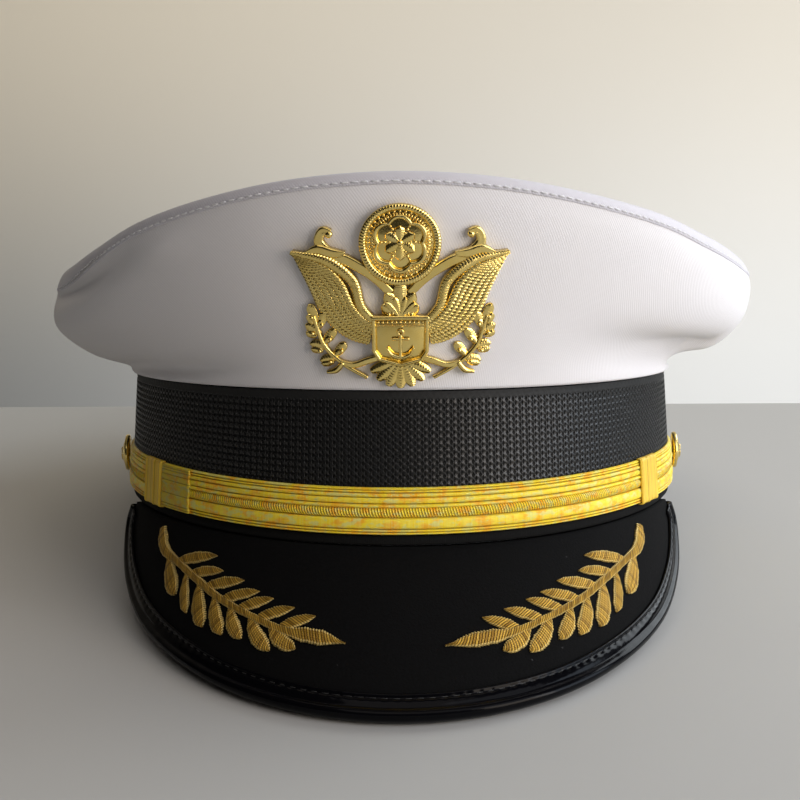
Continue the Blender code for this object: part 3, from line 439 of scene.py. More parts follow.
class Nodes:
    """A node tree, with a short way to add each kind of node."""

    def __init__(self, tree):
        self.tree = tree

    def put(self, node, **values):
        for key, value in values.items():
            socket = node.inputs[int(key[2:])] if key.startswith("in") else node.inputs[key]
            if isinstance(value, bpy.types.NodeSocket):
                self.tree.links.new(value, socket)
            else:
                socket.default_value = value
        return node

    def node(self, kind, props=None, **values):
        made = self.tree.nodes.new("ShaderNode" + kind)
        for key, value in (props or {}).items():
            setattr(made, key, value)
        return self.put(made, **values)

    def math(self, what, a, b=0.0):
        return self.node("Math", {"operation": what}, in0=a, in1=b).outputs[0]

    def add(self, a, b):
        return self.math("ADD", a, b)

    def sub(self, a, b):
        return self.math("SUBTRACT", a, b)

    def mul(self, a, b):
        return self.math("MULTIPLY", a, b)

    def div(self, a, b):
        return self.math("DIVIDE", a, b)

    def size(self, a):
        return self.math("ABSOLUTE", a)

    def from_middle(self, a):
        """Distance from the middle of each whole step of a coordinate."""
        return self.size(self.sub(self.math("FRACT", a), 0.5))

    def per_step(self, a):
        """Random number for each whole step of a coordinate."""
        return self.node("TexWhiteNoise", {"noise_dimensions": "1D"},
                         W=self.math("FLOOR", a)).outputs[0]

    def ramp(self, value, low, high, to_low=0.0, to_high=1.0):
        made = self.node("MapRange", {"interpolation_type": "SMOOTHSTEP"}, **{
            "Value": value, "From Min": low, "From Max": high, "To Min": to_low,
            "To Max": to_high})
        return made.outputs[0]

    def weave(self):
        """The two weave coordinates, in millimetres."""
        uv = self.node("UVMap", {"uv_map": WEAVE}).outputs[0]
        parts = self.node("SeparateXYZ", in0=uv)
        return uv, parts.outputs[0], parts.outputs[1]

    def place(self):
        return self.node("TexCoord").outputs["Object"]

    def noise(self, vector, scale, detail=2.0, rough=0.5):
        return self.node("TexNoise", **{"Vector": vector, "Scale": scale, "Detail": detail,
                                        "Roughness": rough}).outputs[0]

    def stretched(self, vector, x, y, z):
        return self.node("Mapping", {"vector_type": "TEXTURE"}, **{
            "Vector": vector, "Scale": (1 / x, 1 / y, 1 / z)}).outputs[0]

    def wave(self, value, pitch):
        """0 to 1 sine of a coordinate."""
        sine = self.math("SINE", self.mul(value, 2 * math.pi / pitch))
        return self.node("Math", {"operation": "MULTIPLY_ADD"}, in0=sine, in1=0.5,
                         in2=0.5).outputs[0]

    def mix(self, share, a, b):
        made = self.node("Mix", {"data_type": "RGBA"})
        self.put(made, in0=share, in6=a, in7=b)
        return made.outputs[2]



class Look(Nodes):
    """One material."""

    def __init__(self, name, colour, rough, metal=0.0, **sockets):
        self.mat = bpy.data.materials.new(name)
        self.mat.use_nodes = True
        super().__init__(self.mat.node_tree)
        self.shader = self.tree.nodes["Principled BSDF"]
        self.mat.diffuse_color = (*colour, 1.0)
        self.put(self.shader, **{"Base Color": (*colour, 1.0), "Roughness": rough,
                                 "Metallic": metal}, **sockets)

    def colour(self, socket):
        self.put(self.shader, **{"Base Color": socket})

    def bump(self, height, distance):
        made = self.node("Bump", Height=height, Distance=distance)
        self.put(self.shader, Normal=made.outputs[0])

    def rough(self, socket):
        self.put(self.shader, Roughness=socket)

    def specular(self, level):
        self.put(self.shader, **{"Specular IOR Level": level})


def grey(v, blue=0.0):
    return (v, v, v * (1 + blue), 1.0)


# materials
def white_twill(name, tone=1.0, blue=1.0, fine=1.0):
    def white(r, g, b):
        return r * tone, g * tone, b * tone * blue, 1

    k = Look(name, (0.80 * tone, 0.79 * tone, 0.82 * tone), 0.8, **{"Sheen Weight": 0.15})
    uv, u, v = k.weave()
    twill = k.wave(k.add(k.mul(u, 0.80), k.mul(v, 0.60)), TWILL)
    thread = k.wave(k.sub(k.mul(u, 0.60), k.mul(v, 0.80)), 0.5)
    grain = k.noise(uv, 2.2, 3.0)
    shade = k.ramp(k.add(k.mul(twill, 0.55), k.mul(grain, 0.45)), 0.0, 1.0,
                   0.5 - 0.5 * fine, 0.5 + 0.5 * fine)
    colour = k.mix(shade, white(0.775, 0.76, 0.78), white(0.835, 0.82, 0.84))
    soft = k.noise(k.place(), 28.0, 2.0)
    k.colour(k.mix(k.ramp(soft, 0.35, 0.65, 0.0, 0.12), colour, (0.70, 0.69, 0.73, 1)))
    k.bump(k.add(k.add(twill, k.mul(thread, 0.35)), k.mul(grain, 0.6)), 0.00003 * fine)
    k.specular(0.25)
    return k.mat


def black_cloth():
    k = Look("black_cloth", (0.006, 0.006, 0.0065), 0.9)
    fine = k.noise(k.place(), 2600.0, 3.0)
    k.colour(k.mix(fine, grey(0.003), grey(0.010)))
    k.bump(k.add(k.wave(k.weave()[1], 0.55), fine), 0.00004)
    k.specular(0.15)
    return k.mat


def mesh_weave():
    """Net whose weave coordinates count wales and rows, with two staggered holes in each."""
    k = Look("black_mesh", (0.008, 0.008, 0.008), 0.4)
    uv, u, v = k.weave()

    def hole(u0, v0):
        across, up = (k.math("POWER", k.div(k.from_middle(k.add(q, 0.5 - q0)), wide), 2.0)
                      for q, q0, wide in ((u, u0, 0.16), (v, v0, 0.36)))
        return k.ramp(k.add(across, up), 0.45, 1.35, 1.0, 0.0)

    holes = k.math("MAXIMUM", hole(0.305, 1 / 3), hole(0.695, 5 / 6))
    rows = round((BAND_HEIGHT - FOOT_HEIGHT - GAP) / MESH_ROW)
    inside = k.mul(k.ramp(v, 0.75, 0.95), k.ramp(v, rows - 1.35, rows - 1.15, 1, 0))
    holes = k.mul(holes, inside)
    fine = k.noise(k.place(), 2200.0, 3.0)
    strand = k.wave(k.add(k.mul(u, 3.0), v), 0.5)
    woven = k.mix(inside, grey(0.0012), k.mix(fine, grey(0.0010), grey(0.0040)))
    # the holes are painted near black: painted shade in the pits
    k.colour(k.mix(holes, woven, grey(0.0002)))
    height = k.sub(k.mul(strand, 0.2), k.mul(holes, 2.0))
    k.bump(k.add(height, k.mul(fine, 0.3)), 0.00010)
    k.specular(0.5)
    rough = k.add(k.ramp(fine, 0.2, 0.8, 0.25, 0.35), k.mul(holes, 0.5))
    k.rough(k.add(rough, k.ramp(inside, 0.0, 1.0, 0.35, 0.0)))
    return k.mat


def felt():
    k = Look("peak_felt", (0.004, 0.004, 0.0045), 0.95)
    fine = k.noise(k.place(), 1500.0, 4.0, 0.6)
    lint = k.node("TexVoronoi", Vector=k.place(), Scale=260.0).outputs["Distance"]
    lint = k.ramp(lint, 0.05, 0.10, 0.35, 0.0)
    rare = k.ramp(k.noise(k.place(), 700.0), 0.62, 0.68)
    colour = k.mix(fine, grey(0.0010), grey(0.0052, 0.1))
    k.colour(k.mix(k.mul(lint, rare), colour, grey(0.12)))
    k.bump(fine, 0.00014)
    k.specular(0.12)
    return k.mat


def patent():
    k = Look("patent_leather", (0.0022, 0.0022, 0.0032), 0.16, IOR=1.19)
    soft = k.noise(k.place(), 90.0, 2.0)
    fine = k.noise(k.place(), 900.0, 2.0)
    k.bump(k.add(soft, k.mul(fine, 0.06)), 0.00030)
    k.rough(k.ramp(soft, 0.3, 0.7, 0.10, 0.17))
    return k.mat


def sewing_thread(name, rough, twist, dark, light):
    k = Look(name, light[:3], rough)
    uv, u, v = k.weave()
    k.bump(k.wave(k.add(u, v), twist), 0.00005)
    k.colour(k.mix(k.noise(k.place(), 3000.0), dark, light))
    return k.mat



def gold_braid(name, cross=True, tone=1.0):
    def gold(r, g, b, blue_tone=1.0):
        return r * tone, g * tone, b * blue_tone, 1

    k = Look(name, gold(1.0, 0.78, 0.05, tone)[:3], 0.36, 0.05)
    k.specular(0.25)
    uv, u, v = k.weave()
    patch = k.noise(k.stretched(uv, 0.20, 0.34, 1.0), 1.0, 3.0, 0.6)
    other = k.noise(k.stretched(uv, 0.26, 0.42, 1.0), 1.3, 2.0, 0.6)
    thread = k.per_step(k.div(u, 0.33))
    colour = k.mix(k.ramp(patch, 0.45, 0.62), gold(1.0, 0.76, 0.022), gold(1.0, 0.49, 0.012))
    colour = k.mix(k.ramp(other, 0.50, 0.62, 0.0, 0.75), colour, gold(0.74, 0.74, 0.26, tone))
    # random threads painted pale gold: a painted highlight on single threads
    colour = k.mix(k.mul(thread, 0.30), colour, gold(1.0, 0.92, 0.24, tone))
    if cross:
        # thin dark lines where the ribs of the braid meet: painted shade in the grooves
        ramp = k.node("ValToRGB", Fac=k.div(k.sub(v, STRAP_LOW), STRAP_HIGH - STRAP_LOW))
        band = ramp.color_ramp.elements
        band[0].position, band[0].color = 0.0, (0, 0, 0, 1)
        band[1].position, band[1].color = 1.0, (0, 0, 0, 1)
        for place, wide in BRAID_SHADE_LINES:
            for shift, dark in ((-wide, 0.0), (0.0, 1.0), (wide, 0.0)):
                band.new(place + shift).color = (dark, dark, dark, 1)
        colour = k.mix(k.mul(ramp.outputs[0], 0.85), colour, (0.24, 0.13, 0.01, 1))
        strand = k.wave(u, 0.33)
    else:
        # windings of the cord: painted shade where one turn meets the next
        colour = k.mix(k.ramp(k.from_middle(u), 0.30, 0.46), colour, (0.16, 0.08, 0.01, 1))
        strand = k.wave(v, 0.5)
    k.colour(colour)
    k.bump(k.add(strand, k.mul(patch, 0.5)), 0.00005)
    k.rough(k.ramp(thread, 0.0, 1.0, 0.30, 0.44))
    return k.mat


def slide_braid():
    k = Look("slide_braid", (0.9, 0.62, 0.05), 0.38, 0.08)
    uv, u, v = k.weave()
    line = k.noise(k.stretched(uv, 0.10, 2.2, 1.0), 1.0, 2.0)
    colour = k.mix(k.ramp(line, 0.3, 0.7), (0.88, 0.52, 0.03, 1), (0.95, 0.70, 0.07, 1))
    # dark lines across the keeper at each of its grooves: painted shade
    groove = k.ramp(k.from_middle(k.div(v, 2.9)), 0.0, 0.07, 0.75, 0.0)
    k.colour(k.mix(groove, colour, (0.30, 0.15, 0.01, 1)))
    k.bump(k.add(k.wave(v, 0.4), k.wave(u, 0.3)), 0.00004)
    k.rough(k.ramp(line, 0.2, 0.8, 0.32, 0.46))
    return k.mat


def gold_thread():
    """Weave coordinates: walk along the leaf, and -1 to 1 across it."""
    k = Look("gold_thread", (0.42, 0.27, 0.08), 0.40, 0.3)
    k.specular(0.3)
    uv, u, v = k.weave()
    count = k.div(k.add(u, k.mul(v, 0.9)), THREAD)
    stitch = k.per_step(count)
    gap = k.ramp(k.from_middle(count), 0.22, 0.48)
    edge = k.ramp(k.size(v), 0.60, 0.92)
    colour = k.mix(stitch, (0.34, 0.180, 0.018, 1), (0.82, 0.50, 0.075, 1))
    # the leaf's edges painted pale gold: a painted highlight
    colour = k.mix(k.mul(edge, 0.75), colour, (1.0, 0.78, 0.30, 1))
    # the gaps between stitches painted near black: painted shade
    k.colour(k.mix(k.mul(gap, 0.85), colour, (0.07, 0.032, 0.004, 1)))
    k.bump(k.sub(k.wave(v, 0.3), k.mul(gap, 2.0)), 0.00012)
    k.rough(k.ramp(stitch, 0.0, 1.0, 0.34, 0.5))
    return k.mat


def gilt():
    k = Look("gilt_metal", (0.93, 0.71, 0.23), 0.15, 1.0)
    soft = k.noise(k.place(), 260.0, 3.0)
    fine = k.noise(k.place(), 2400.0, 3.0)
    k.colour(k.mix(soft, (0.90, 0.64, 0.16, 1), (0.96, 0.78, 0.31, 1)))
    k.rough(k.ramp(fine, 0.25, 0.8, 0.1125, 0.225))
    k.bump(k.add(soft, k.mul(fine, 0.35)), 0.00007)
    return k.mat


LOOKS = {
    # look: material, slot
    "white_cloth": (white_twill("white_twill"), "white_cloth"),
    "top_cloth": (white_twill("top_twill", fine=0.3), "white_cloth"),
    # a darker, bluer copy of the white twill for the rolled rim: painted shade on its rounding,
    # with a painted bluish light from above
    "rim_cloth": (white_twill("rim_twill", 0.82, 1.06), "white_cloth"),
    "white_thread": (sewing_thread("white_thread", 0.6, 0.22, (0.78, 0.78, 0.82, 1),
                                   (0.9, 0.9, 0.93, 1)), "white_cloth"),
    "black_cloth": (black_cloth(), "black_cloth"),
    "black_mesh": (mesh_weave(), "black_mesh"),
    "felt": (felt(), "black_cloth"),
    "patent_leather": (patent(), "patent_leather"),
    "black_thread": (sewing_thread("black_thread", 0.4, 0.25, grey(0.008), grey(0.03)),
                     "patent_leather"),
    "gold_braid": (gold_braid("gold_braid"), "gold_braid"),
    "gold_gimp": (gold_braid("gold_gimp", False), "gold_braid"),
    "layer_braid": (gold_braid("layer_braid", tone=0.70), "gold_braid"),
    "slide_braid": (slide_braid(), "gold_braid"),
    "gold_thread": (gold_thread(), "gold_thread"),
    "gilt_metal": (gilt(), "gilt_metal"),
}
def bell(x, centre, width):
    return np.exp(-((x - centre) / width)**2)


def eased(x, low, high):
    t = np.clip((x - low) / (high - low), 0.0, 1.0)
    return t * t * (3 - 2 * t)


# soft dents and swells in the crown: angle, share up, how far out, spread in angle and share
CROWN_SOFT = [
    (-58, 0.85, -4.2, 14, 0.09), (-64, 0.60, 1.0, 14, 0.15),
    (-42, 0.10, -1.4, 12, 0.05), (-56, 0.15, -1.9, 12, 0.07), (-88, 0.20, 1.2, 13, 0.08),
    (-37, 0.84, 1.1, 6, 0.09), (84, 0.27, 0.8, 14, 0.06), (60, 0.62, 0.5, 12, 0.16),
    (118, 0.55, -0.8, 16, 0.2), (-126, 0.5, -0.9, 18, 0.2), (160, 0.6, 0.6, 14, 0.2),
]
def crown_relief(phi, s):
    """How far the crown's cloth stands out from its plain surface."""
    phi = (phi + 180.0) % 360.0 - 180.0
    out = sum(a * bell(phi, p, w) * bell(s, t, h) for p, t, a, w, h in CROWN_SOFT)
    # at the right the cloth stands up from the band, then tucks in behind a short fold
    pocket = eased(phi, 66.0, 72.0) * (1 - eased(phi, 90.0, 120.0)) * bell(s, 0.18, 0.10)
    collar = eased(phi, 22.0, 58.0) * (1 - eased(phi, 65.0, 70.0)) * bell(s, 0.26, 0.13)
    out = out - 3.2 * pocket - 4.8 * collar
    # the left lobe is drawn in towards its rim
    out = out - 1.8 * bell(phi, -88.0, 22.0) * eased(s, 0.58, 0.85)
    out = out - 0.30 * bell(folded(phi), 180.0, 0.55)                  # seam at the back
    return out * np.clip(s / 0.04, 0, 1) * np.clip((0.985 - s) / 0.05, 0, 1)


def over_lobe(phi):
    return bell(folded(phi), LOBE_ANGLE, LOBE_SPREAD)


def rim_roll(phi):
    """How far down the side the rounding of the rim begins: wider over the side lobes."""
    return SEAM_LAP + 4.2 * over_lobe(phi)


def crown_share(phi, down):
    """Share up the crown's side at a distance down from its upper edge."""
    e = 1e-3
    return 1 - down * e / np.linalg.norm(crown_point(phi, 1.0) - crown_point(phi, 1 - e), axis=-1)


def crown_side():
    phi = angles(CROWN_STEPS, -180, 180)[:, None]
    s = np.linspace(0, 1, 56) * crown_share(phi, rim_roll(phi) - SEAM_COVER)
    base, n = crown_point(phi, s), crown_normal(phi, s)
    relief = crown_relief(phi, s)[..., None]
    uv = spread(np.radians(angles(CROWN_STEPS + 1, 0, 360.5)) * 110.0,
                walked(crown_point(np.full(56, 60.0), s[CROWN_STEPS * 2 // 3])))
    Shape().wall(base + n * relief, base - n * (CLOTH - np.minimum(relief, 0.0)), uv, True).build(
        "crown_side_cloth", "white_cloth", ["crown_side"])


def crown_edge(phi, down, out):
    """Point by the crown's upper edge, a distance down its side and out from it."""
    s = crown_share(phi, down)
    out = out + crown_relief(phi, s)
    return crown_point(phi, s) + crown_normal(phi, s) * out[..., None]


def crown_top():
    """Top panel, and the edge that rolls over the rim and laps onto the side."""
    phi = angles(CROWN_STEPS, -180, 180)
    rows = np.array(CROWN)
    rim = curve(folded(phi), rows[:, 0], rows[:, 1])
    p = np.radians(phi)
    waves = [(rim * np.cos(k * p)).mean() * (1 if k == 0 else 2) for k in range(9)]

    def ring(r, drop, out=0.0):
        """Ring of the panel, whose waves flatten out towards its middle."""
        soft, flat = (sum(t * q**k * np.cos(k * p) for k, t in enumerate(waves)) for q in (r, 1.0))
        high = soft + (rim - flat + right_swell(phi)) * r**9 - 1.2 * (1 - r * r) - drop
        return np.stack([(RIM_HALF_WIDTH + out) * r * np.sin(p),
                         RIM_CENTRE - (RIM_HALF_LENGTH + out) * r * np.cos(p), high], 1)

    lap, wide = rim_roll(phi), over_lobe(phi)
    low = crown_edge(phi, lap, 0.34 - 0.14 * wide)
    # where the cloth is dented below it, the corner goes in with it
    corner = ring(1.0, 2.2 * wide - 3.2, 0.30 - 1.8 * bell(phi, -88.0, 22.0))
    crest, inside = ring(0.95, 0.25 * wide - 0.8), ring(0.9, 0.0)
    rolls = [(1 - t)**3 * low + 3 * t * (1 - t)**2 * corner + 3 * t * t * (1 - t) * crest
             + t**3 * inside for t in np.linspace(0, 1, 19)]
    away = crown_edge(phi, lap, 1.0) - crown_edge(phi, lap, 0.0)
    turns = round(115.0 * 2 * math.pi / SEAM_STITCH)
    pucker = np.cos(2 * math.pi * np.arange(CROWN_STEPS) / CROWN_STEPS * turns)
    for k, depth in enumerate((0.05, 0.10, 0.06, 0.02)):
        rolls[k] = rolls[k] + away * (pucker * depth)[:, None]
    lip = [crown_edge(phi, lap, 0.02), crown_edge(phi, lap + 0.08, 0.16)] + rolls
    # the rim's cloth ends a little over the edge, and the panel goes on from there
    cut = 13
    below = lip[cut] - [0, 0, CLOTH]
    outer = np.stack(lip[:cut + 1], 1)
    walk = np.radians(360.0 / CROWN_STEPS * np.arange(CROWN_STEPS + 1)) * 115.0
    shape = Shape()
    ids = shape.grid(outer, spread(walk, walked(outer[0])), True)
    under = shape.grid(np.stack([crown_edge(phi, lap - SEAM_COVER * 0.7, -0.3),
                                 ring(0.975, 2.9), below], 1), None, True)
    shape.strip(ids[:, 0], under[:, 0], True)
    shape.strip(ids[:, -1], under[:, -1], True)
    shape.build("crown_rim_cloth", "rim_cloth", ["crown_top"])
    # the flat of the top is laid out by its own x and y, so its twill runs straight
    shape = Shape()
    sheet = np.stack(lip[cut:] + [ring(r, 0.0) for r in (0.8, 0.65, 0.45, 0.25, 0.08)], 1)
    flat = shape.grid(sheet, np.concatenate([sheet[:, :, :2], sheet[:1, :, :2]]), True)
    shape.cap(flat[:, -1])
    back = shape.grid(np.stack([below] + [ring(r, CLOTH) for r in (0.9, 0.6, 0.2)], 1), None, True)
    shape.strip(flat[:, 0], back[:, 0], True)
    shape.cap(back[:, -1])
    shape.build("crown_top_cloth", "top_cloth", ["crown_top"])


def bars(shape, centres, along, out, length, thick, rings=7, around=8):
    """Small pill-shaped stitches, each laid along its direction with its back in the cloth."""
    side = np.cross(out, along)
    t = np.linspace(-1, 1, rings)
    swell = np.sqrt(np.clip(1 - t**4, 0.02, 1))
    a = np.linspace(0, 2 * math.pi, around, endpoint=False)
    for c, d, n, w in zip(centres, along, out, side):
        rows = []
        for ti, r in zip(t, swell):
            sink = n * (-0.55 * thick * ti**4)
            rows.append(c + d * (ti * length / 2) + sink + r * thick * (
                np.cos(a)[:, None] * w + np.sin(a)[:, None] * n))
        uv = np.stack(np.meshgrid(t * length / 2, a * thick, indexing="ij"), -1)
        uv = np.concatenate([uv, uv[:, :1] + [0, 2 * math.pi * thick]], 1)
        shape.tube(np.array(rows), uv)


def crown_stitches():
    """Topstitching along the crown's rim, just above the lapped edge."""
    fine = np.linspace(-180, 180, 2001)
    line = crown_edge(fine, rim_roll(fine) - 0.75, 0.36)
    walk = walked(line)
    count = round(walk[-1] / SEAM_STITCH)
    at = (np.arange(count) + 0.5) * walk[-1] / count
    phi = np.interp(at, walk, fine)
    centre, ahead = sampled(at, walk, line), sampled(at + 0.5, walk, line)
    lap = rim_roll(phi)
    out = unit(crown_edge(phi, lap, 1.0) - crown_edge(phi, lap, 0.0))
    centre = centre - out * (0.10 * over_lobe(phi))[:, None]
    shape = Shape()
    bars(shape, centre, unit(ahead - centre), out, SEAM_STITCH * 0.80, 0.24)
    shape.build("crown_topstitching", "white_thread")


def band_core():
    """Cloth band with a folded foot, which shows below the strap."""
    face, top = -MESH_WALL - GAP, BAND_HEIGHT
    back = face - CORE_WALL
    # up, out
    outside = np.array([(0.0, -1.6), (0.12, -0.8), (0.5, -0.45), (1.5, -0.38), (2.5, -0.45),
                        (2.9, -0.8), (3.0, face), (20.0, face), (top - 0.6, face),
                        (top - 0.1, face - 0.5)])
    inside = np.array([(0.0, -2.4), (0.1, -3.2), (0.6, back + 0.1), (1.5, back), (2.6, back),
                       (8.0, back), (14.0, back), (20.0, back), (top - 0.6, back),
                       (top - 0.1, back + 0.5)])
    outer, inner = (band_point(angles(360, -180, 180)[:, None], *q.T) for q in (outside, inside))
    Shape().wall(outer, inner, spread(np.radians(np.arange(361.0)) * 97.0, outside[:, 0]),
                 True).build("band_cloth", "black_cloth", ["band_core"])


def mesh_band():
    """Woven mesh: raised wales with a pair of pits between them, and plain selvedges."""
    wales = round(2 * math.pi * 97.6 / MESH_PITCH)
    per, up = 4, 3
    phi = angles(wales * per, -180, 180)[:, None]
    low, high = FOOT_HEIGHT + GAP, BAND_HEIGHT
    rows = round((high - low) / MESH_ROW)
    step = (high - low) / rows
    z = np.linspace(low, high, rows * up + 1)[None, :]
    i = np.arange(wales * per)[:, None] % per
    j = np.arange(rows * up + 1)[None, :] % up
    phi = phi + np.choose(i, [0.0, 0.055, 0.0, -0.055]) * 360.0 / wales
    slip = np.clip((z - low) / 1.5, 0, 1) * np.clip((high - z) / 1.5, 0, 1)
    zz = z + np.choose(i, [0.25, 0.0, 0.25, 0.5]) * step * slip
    plain = (zz < low + 1.4) | (zz > high - 1.9)
    pit = (i % 2 == 1) & (j == 1)
    out = np.where(pit, -0.75, np.where(i == 0, 0.14, np.where(i == 2, 0.02, -0.05)))
    out = np.where(plain, 0.05, out)
    edge = 0.22 * bell(z, high - 0.2, 0.7) + 0.15 * bell(z, low + 0.2, 0.6)
    u = np.append((phi + 180.0) / 360.0 * wales, wales)
    v = (np.concatenate([zz, zz[:1]]) - low) / step
    shape = Shape()
    a = shape.grid(band_point(phi, zz, out + edge), spread(u, v), True)
    b = shape.grid(band_point(phi[::per], z[:, ::9], -MESH_WALL), None, True)
    for edge_a, edge_b in ((a[:, 0], b[:, 0]), (a[:, -1], b[:, -1])):
        for k in range(len(edge_b)):
            run = [edge_a[(k * per + q) % len(edge_a)] for q in range(per + 1)]
            shape.cap(run + [edge_b[(k + 1) % len(edge_b)], edge_b[k]])
    shape.build("mesh_band_weave", "black_mesh", ["mesh_band"])


def strap_walk(phi):
    return walked(band_point(phi, 0.0, 0.0)[:, :2])


def braid_height(share):
    return STRAP_LOW + (STRAP_HIGH - STRAP_LOW) * share


def chin_strap():
    phi = np.linspace(-STRAP_END, STRAP_END, 420)
    rows = np.array(BRAID)
    share = np.sort(np.concatenate([rows[:, 0], (rows[1:, 0] + rows[:-1, 0]) / 2]))
    lift = (np.interp(share, *rows.T) + curve(share, *rows.T)) / 2
    z, p = braid_height(share), phi[:, None]
    Shape().wall(band_point(p, z, GAP + lift), band_point(p, z, GAP * 0.4),
                 spread(strap_walk(phi), z)).build("braid_strap", "gold_braid", ["chin_strap"])


def strap_gimp():
    """Cord wound with slanting thread that runs along the middle of the braid."""
    phi = np.linspace(-STRAP_END + 0.5, STRAP_END - 0.5, 2400)
    k = np.linspace(-1, 1, 11)
    mid, half = 0.468, 0.098
    z, p = braid_height(mid + half * k), phi[:, None]
    slant = 0.30 * k * half * (STRAP_HIGH - STRAP_LOW)
    phase = (strap_walk(phi)[:, None] + slant) / GIMP_PITCH
    tooth = np.abs(np.sin(math.pi * phase))**0.7
    dome = np.sqrt(np.clip(1 - 0.96 * k**2, 0, 1))
    outer = band_point(p, z, GAP + 0.15 + 0.95 * dome * (0.58 + 0.42 * tooth))
    inner = band_point(p, z[[-1, 0]], GAP + 0.1)
    uv = np.stack(np.broadcast_arrays(phase + 0.5, z), -1)
    Shape().tube(np.concatenate([outer, inner], 1), np.concatenate(
        [uv, uv[:, [-1, 0, 0]]], 1)).build("braid_gimp", "gold_gimp")


def strap_end():
    """End of the strap's second layer, which lies flat over the first at the left."""
    count = 61
    phi = np.linspace(-51.0, -42.0, count)
    rows = np.array(BRAID)
    share = np.unique(np.clip(rows[:, 0], 0.02, 0.98))
    z = braid_height(share)
    t = np.linspace(0, 1, count)[:, None]
    weave = np.sin(np.arange(count) * 1.9)[:, None] * np.cos(np.arange(len(share)) * 2.3)
    lift = (1.18 + 0.25 * np.interp(share, *rows.T) + 0.04 * weave
            + 0.10 * bell(t, 0.97, 0.03) - 0.25 * (t > 0.99))
    p = phi[:, None] + 0.12 * np.sin(share * 31) * t**6
    Shape().wall(band_point(p, z, GAP + lift), band_point(p, z, GAP + 0.75),
                 spread(strap_walk(phi), z)).build("braid_second_layer", "layer_braid")


def slide(side):
    """Keeper of ridged braid folded over the strap's two edges."""
    name = "right" if side > 0 else "left"
    count = 65
    phi = np.linspace(51.2, 58.4, count)
    t = np.linspace(0, 1, count)
    ridge = bell(t, 0.06, 0.06) + bell(t, 0.40, 0.045) + bell(t, 0.90, 0.05)
    ends = np.clip(np.minimum(t, 1 - t) / 0.03, 0, 1)**0.5
    low, high = STRAP_LOW - 0.1, STRAP_HIGH + 0.1
    lip, foot, turn = 0.35, 0.35, 0.9
    top = 1.50 + 0.38 * ridge * ends + 0.25 * ends
    wide = high - low + 2 * lip
    # section from the lower edge: up its side, round the turn and across; then the same down
    rise = [(0.0, foot + (top - turn - foot) * q) for q in (0, 1 / 3, 2 / 3)]
    rise += [(turn * (1 - math.cos(q)), top - turn + turn * math.sin(q))
             for q in np.linspace(0, math.pi / 2, 7)]
    section = rise + [(turn + (wide - 2 * turn) * q, top) for q in np.linspace(0, 1, 15)[1:-1]]
    section += [(wide - z, h) for z, h in rise[::-1]]
    section = [(low - lip + z, h) for z, h in section]
    outer = np.stack([band_point(phi, z, h) for z, h in section], 1)
    inner = np.stack([band_point(phi, np.clip(z, low, high), np.minimum(h, 1.4))
                      for z, h in section], 1)
    uv = spread(strap_walk(phi), walked(outer[count // 2]))[..., ::-1]
    Shape().wall(outer, inner, uv).build("slide_%s_braid" % name, "slide_braid",
                                         ["slide_" + name], lambda p: mirror(p, side))


def ball(shape, centre, radius, squash=0.8, rows=6, count=10):
    """Bead on a flat sheet."""
    t = (np.linspace(0.03, 1, rows) * math.pi / 2)[:, None]
    a = np.radians(angles(count))
    rings = np.stack(np.broadcast_arrays(
        radius * np.sin(t) * np.cos(a), radius * np.sin(t) * np.sin(a),
        radius * squash * np.cos(t)), -1) + np.array(centre, float)
    shape.tube(np.concatenate([rings, rings[-1:] - [0, 0, 0.35]]))


def strand(shape, path, half, height, across=9, base=0.0):
    """Raised strand on a flat sheet. height(walk, k, half) gives its relief."""
    path, half = np.asarray(path, float), np.asarray(half, float)
    run = unit(np.gradient(path, axis=0))
    side = np.stack([-run[:, 1], run[:, 0]], 1)
    walk = walked(path)
    k = np.sin(np.linspace(-1, 1, across) * math.pi / 2)
    flat = path[:, None] + side[:, None] * (half[:, None] * k)[..., None]
    lift = height(walk[:, None], k[None, :], half[:, None])
    grid = np.concatenate([flat, np.broadcast_to(lift, flat.shape[:2])[..., None]], -1)
    feet = grid[:, [-1, 0]].copy()
    feet[..., 2] = base
    shape.tube(np.concatenate([grid, feet], 1), spread(walk, np.append(k, [1, -1, -1])))


def bowed(base, tip, bow, count):
    base, tip = np.array(base, float), np.array(tip, float)
    t = np.linspace(0, 1, count)
    run = tip - base
    side = np.array([-run[1], run[0]]) / np.hypot(*run)
    return base + run * t[:, None] + side * (bow * 4 * t * (1 - t))[:, None], t


def satin(walk, k, half):
    """Satin stitch: a low padded ridge of threads laid side by side."""
    dome = np.clip(1 - np.abs(k)**3, 0, 1)**0.6
    thread = np.abs(np.sin(math.pi * (walk + 0.55 * k * half) / THREAD))**0.7
    return 0.12 + (0.42 + 0.12 * half) * dome * (0.68 + 0.32 * thread)


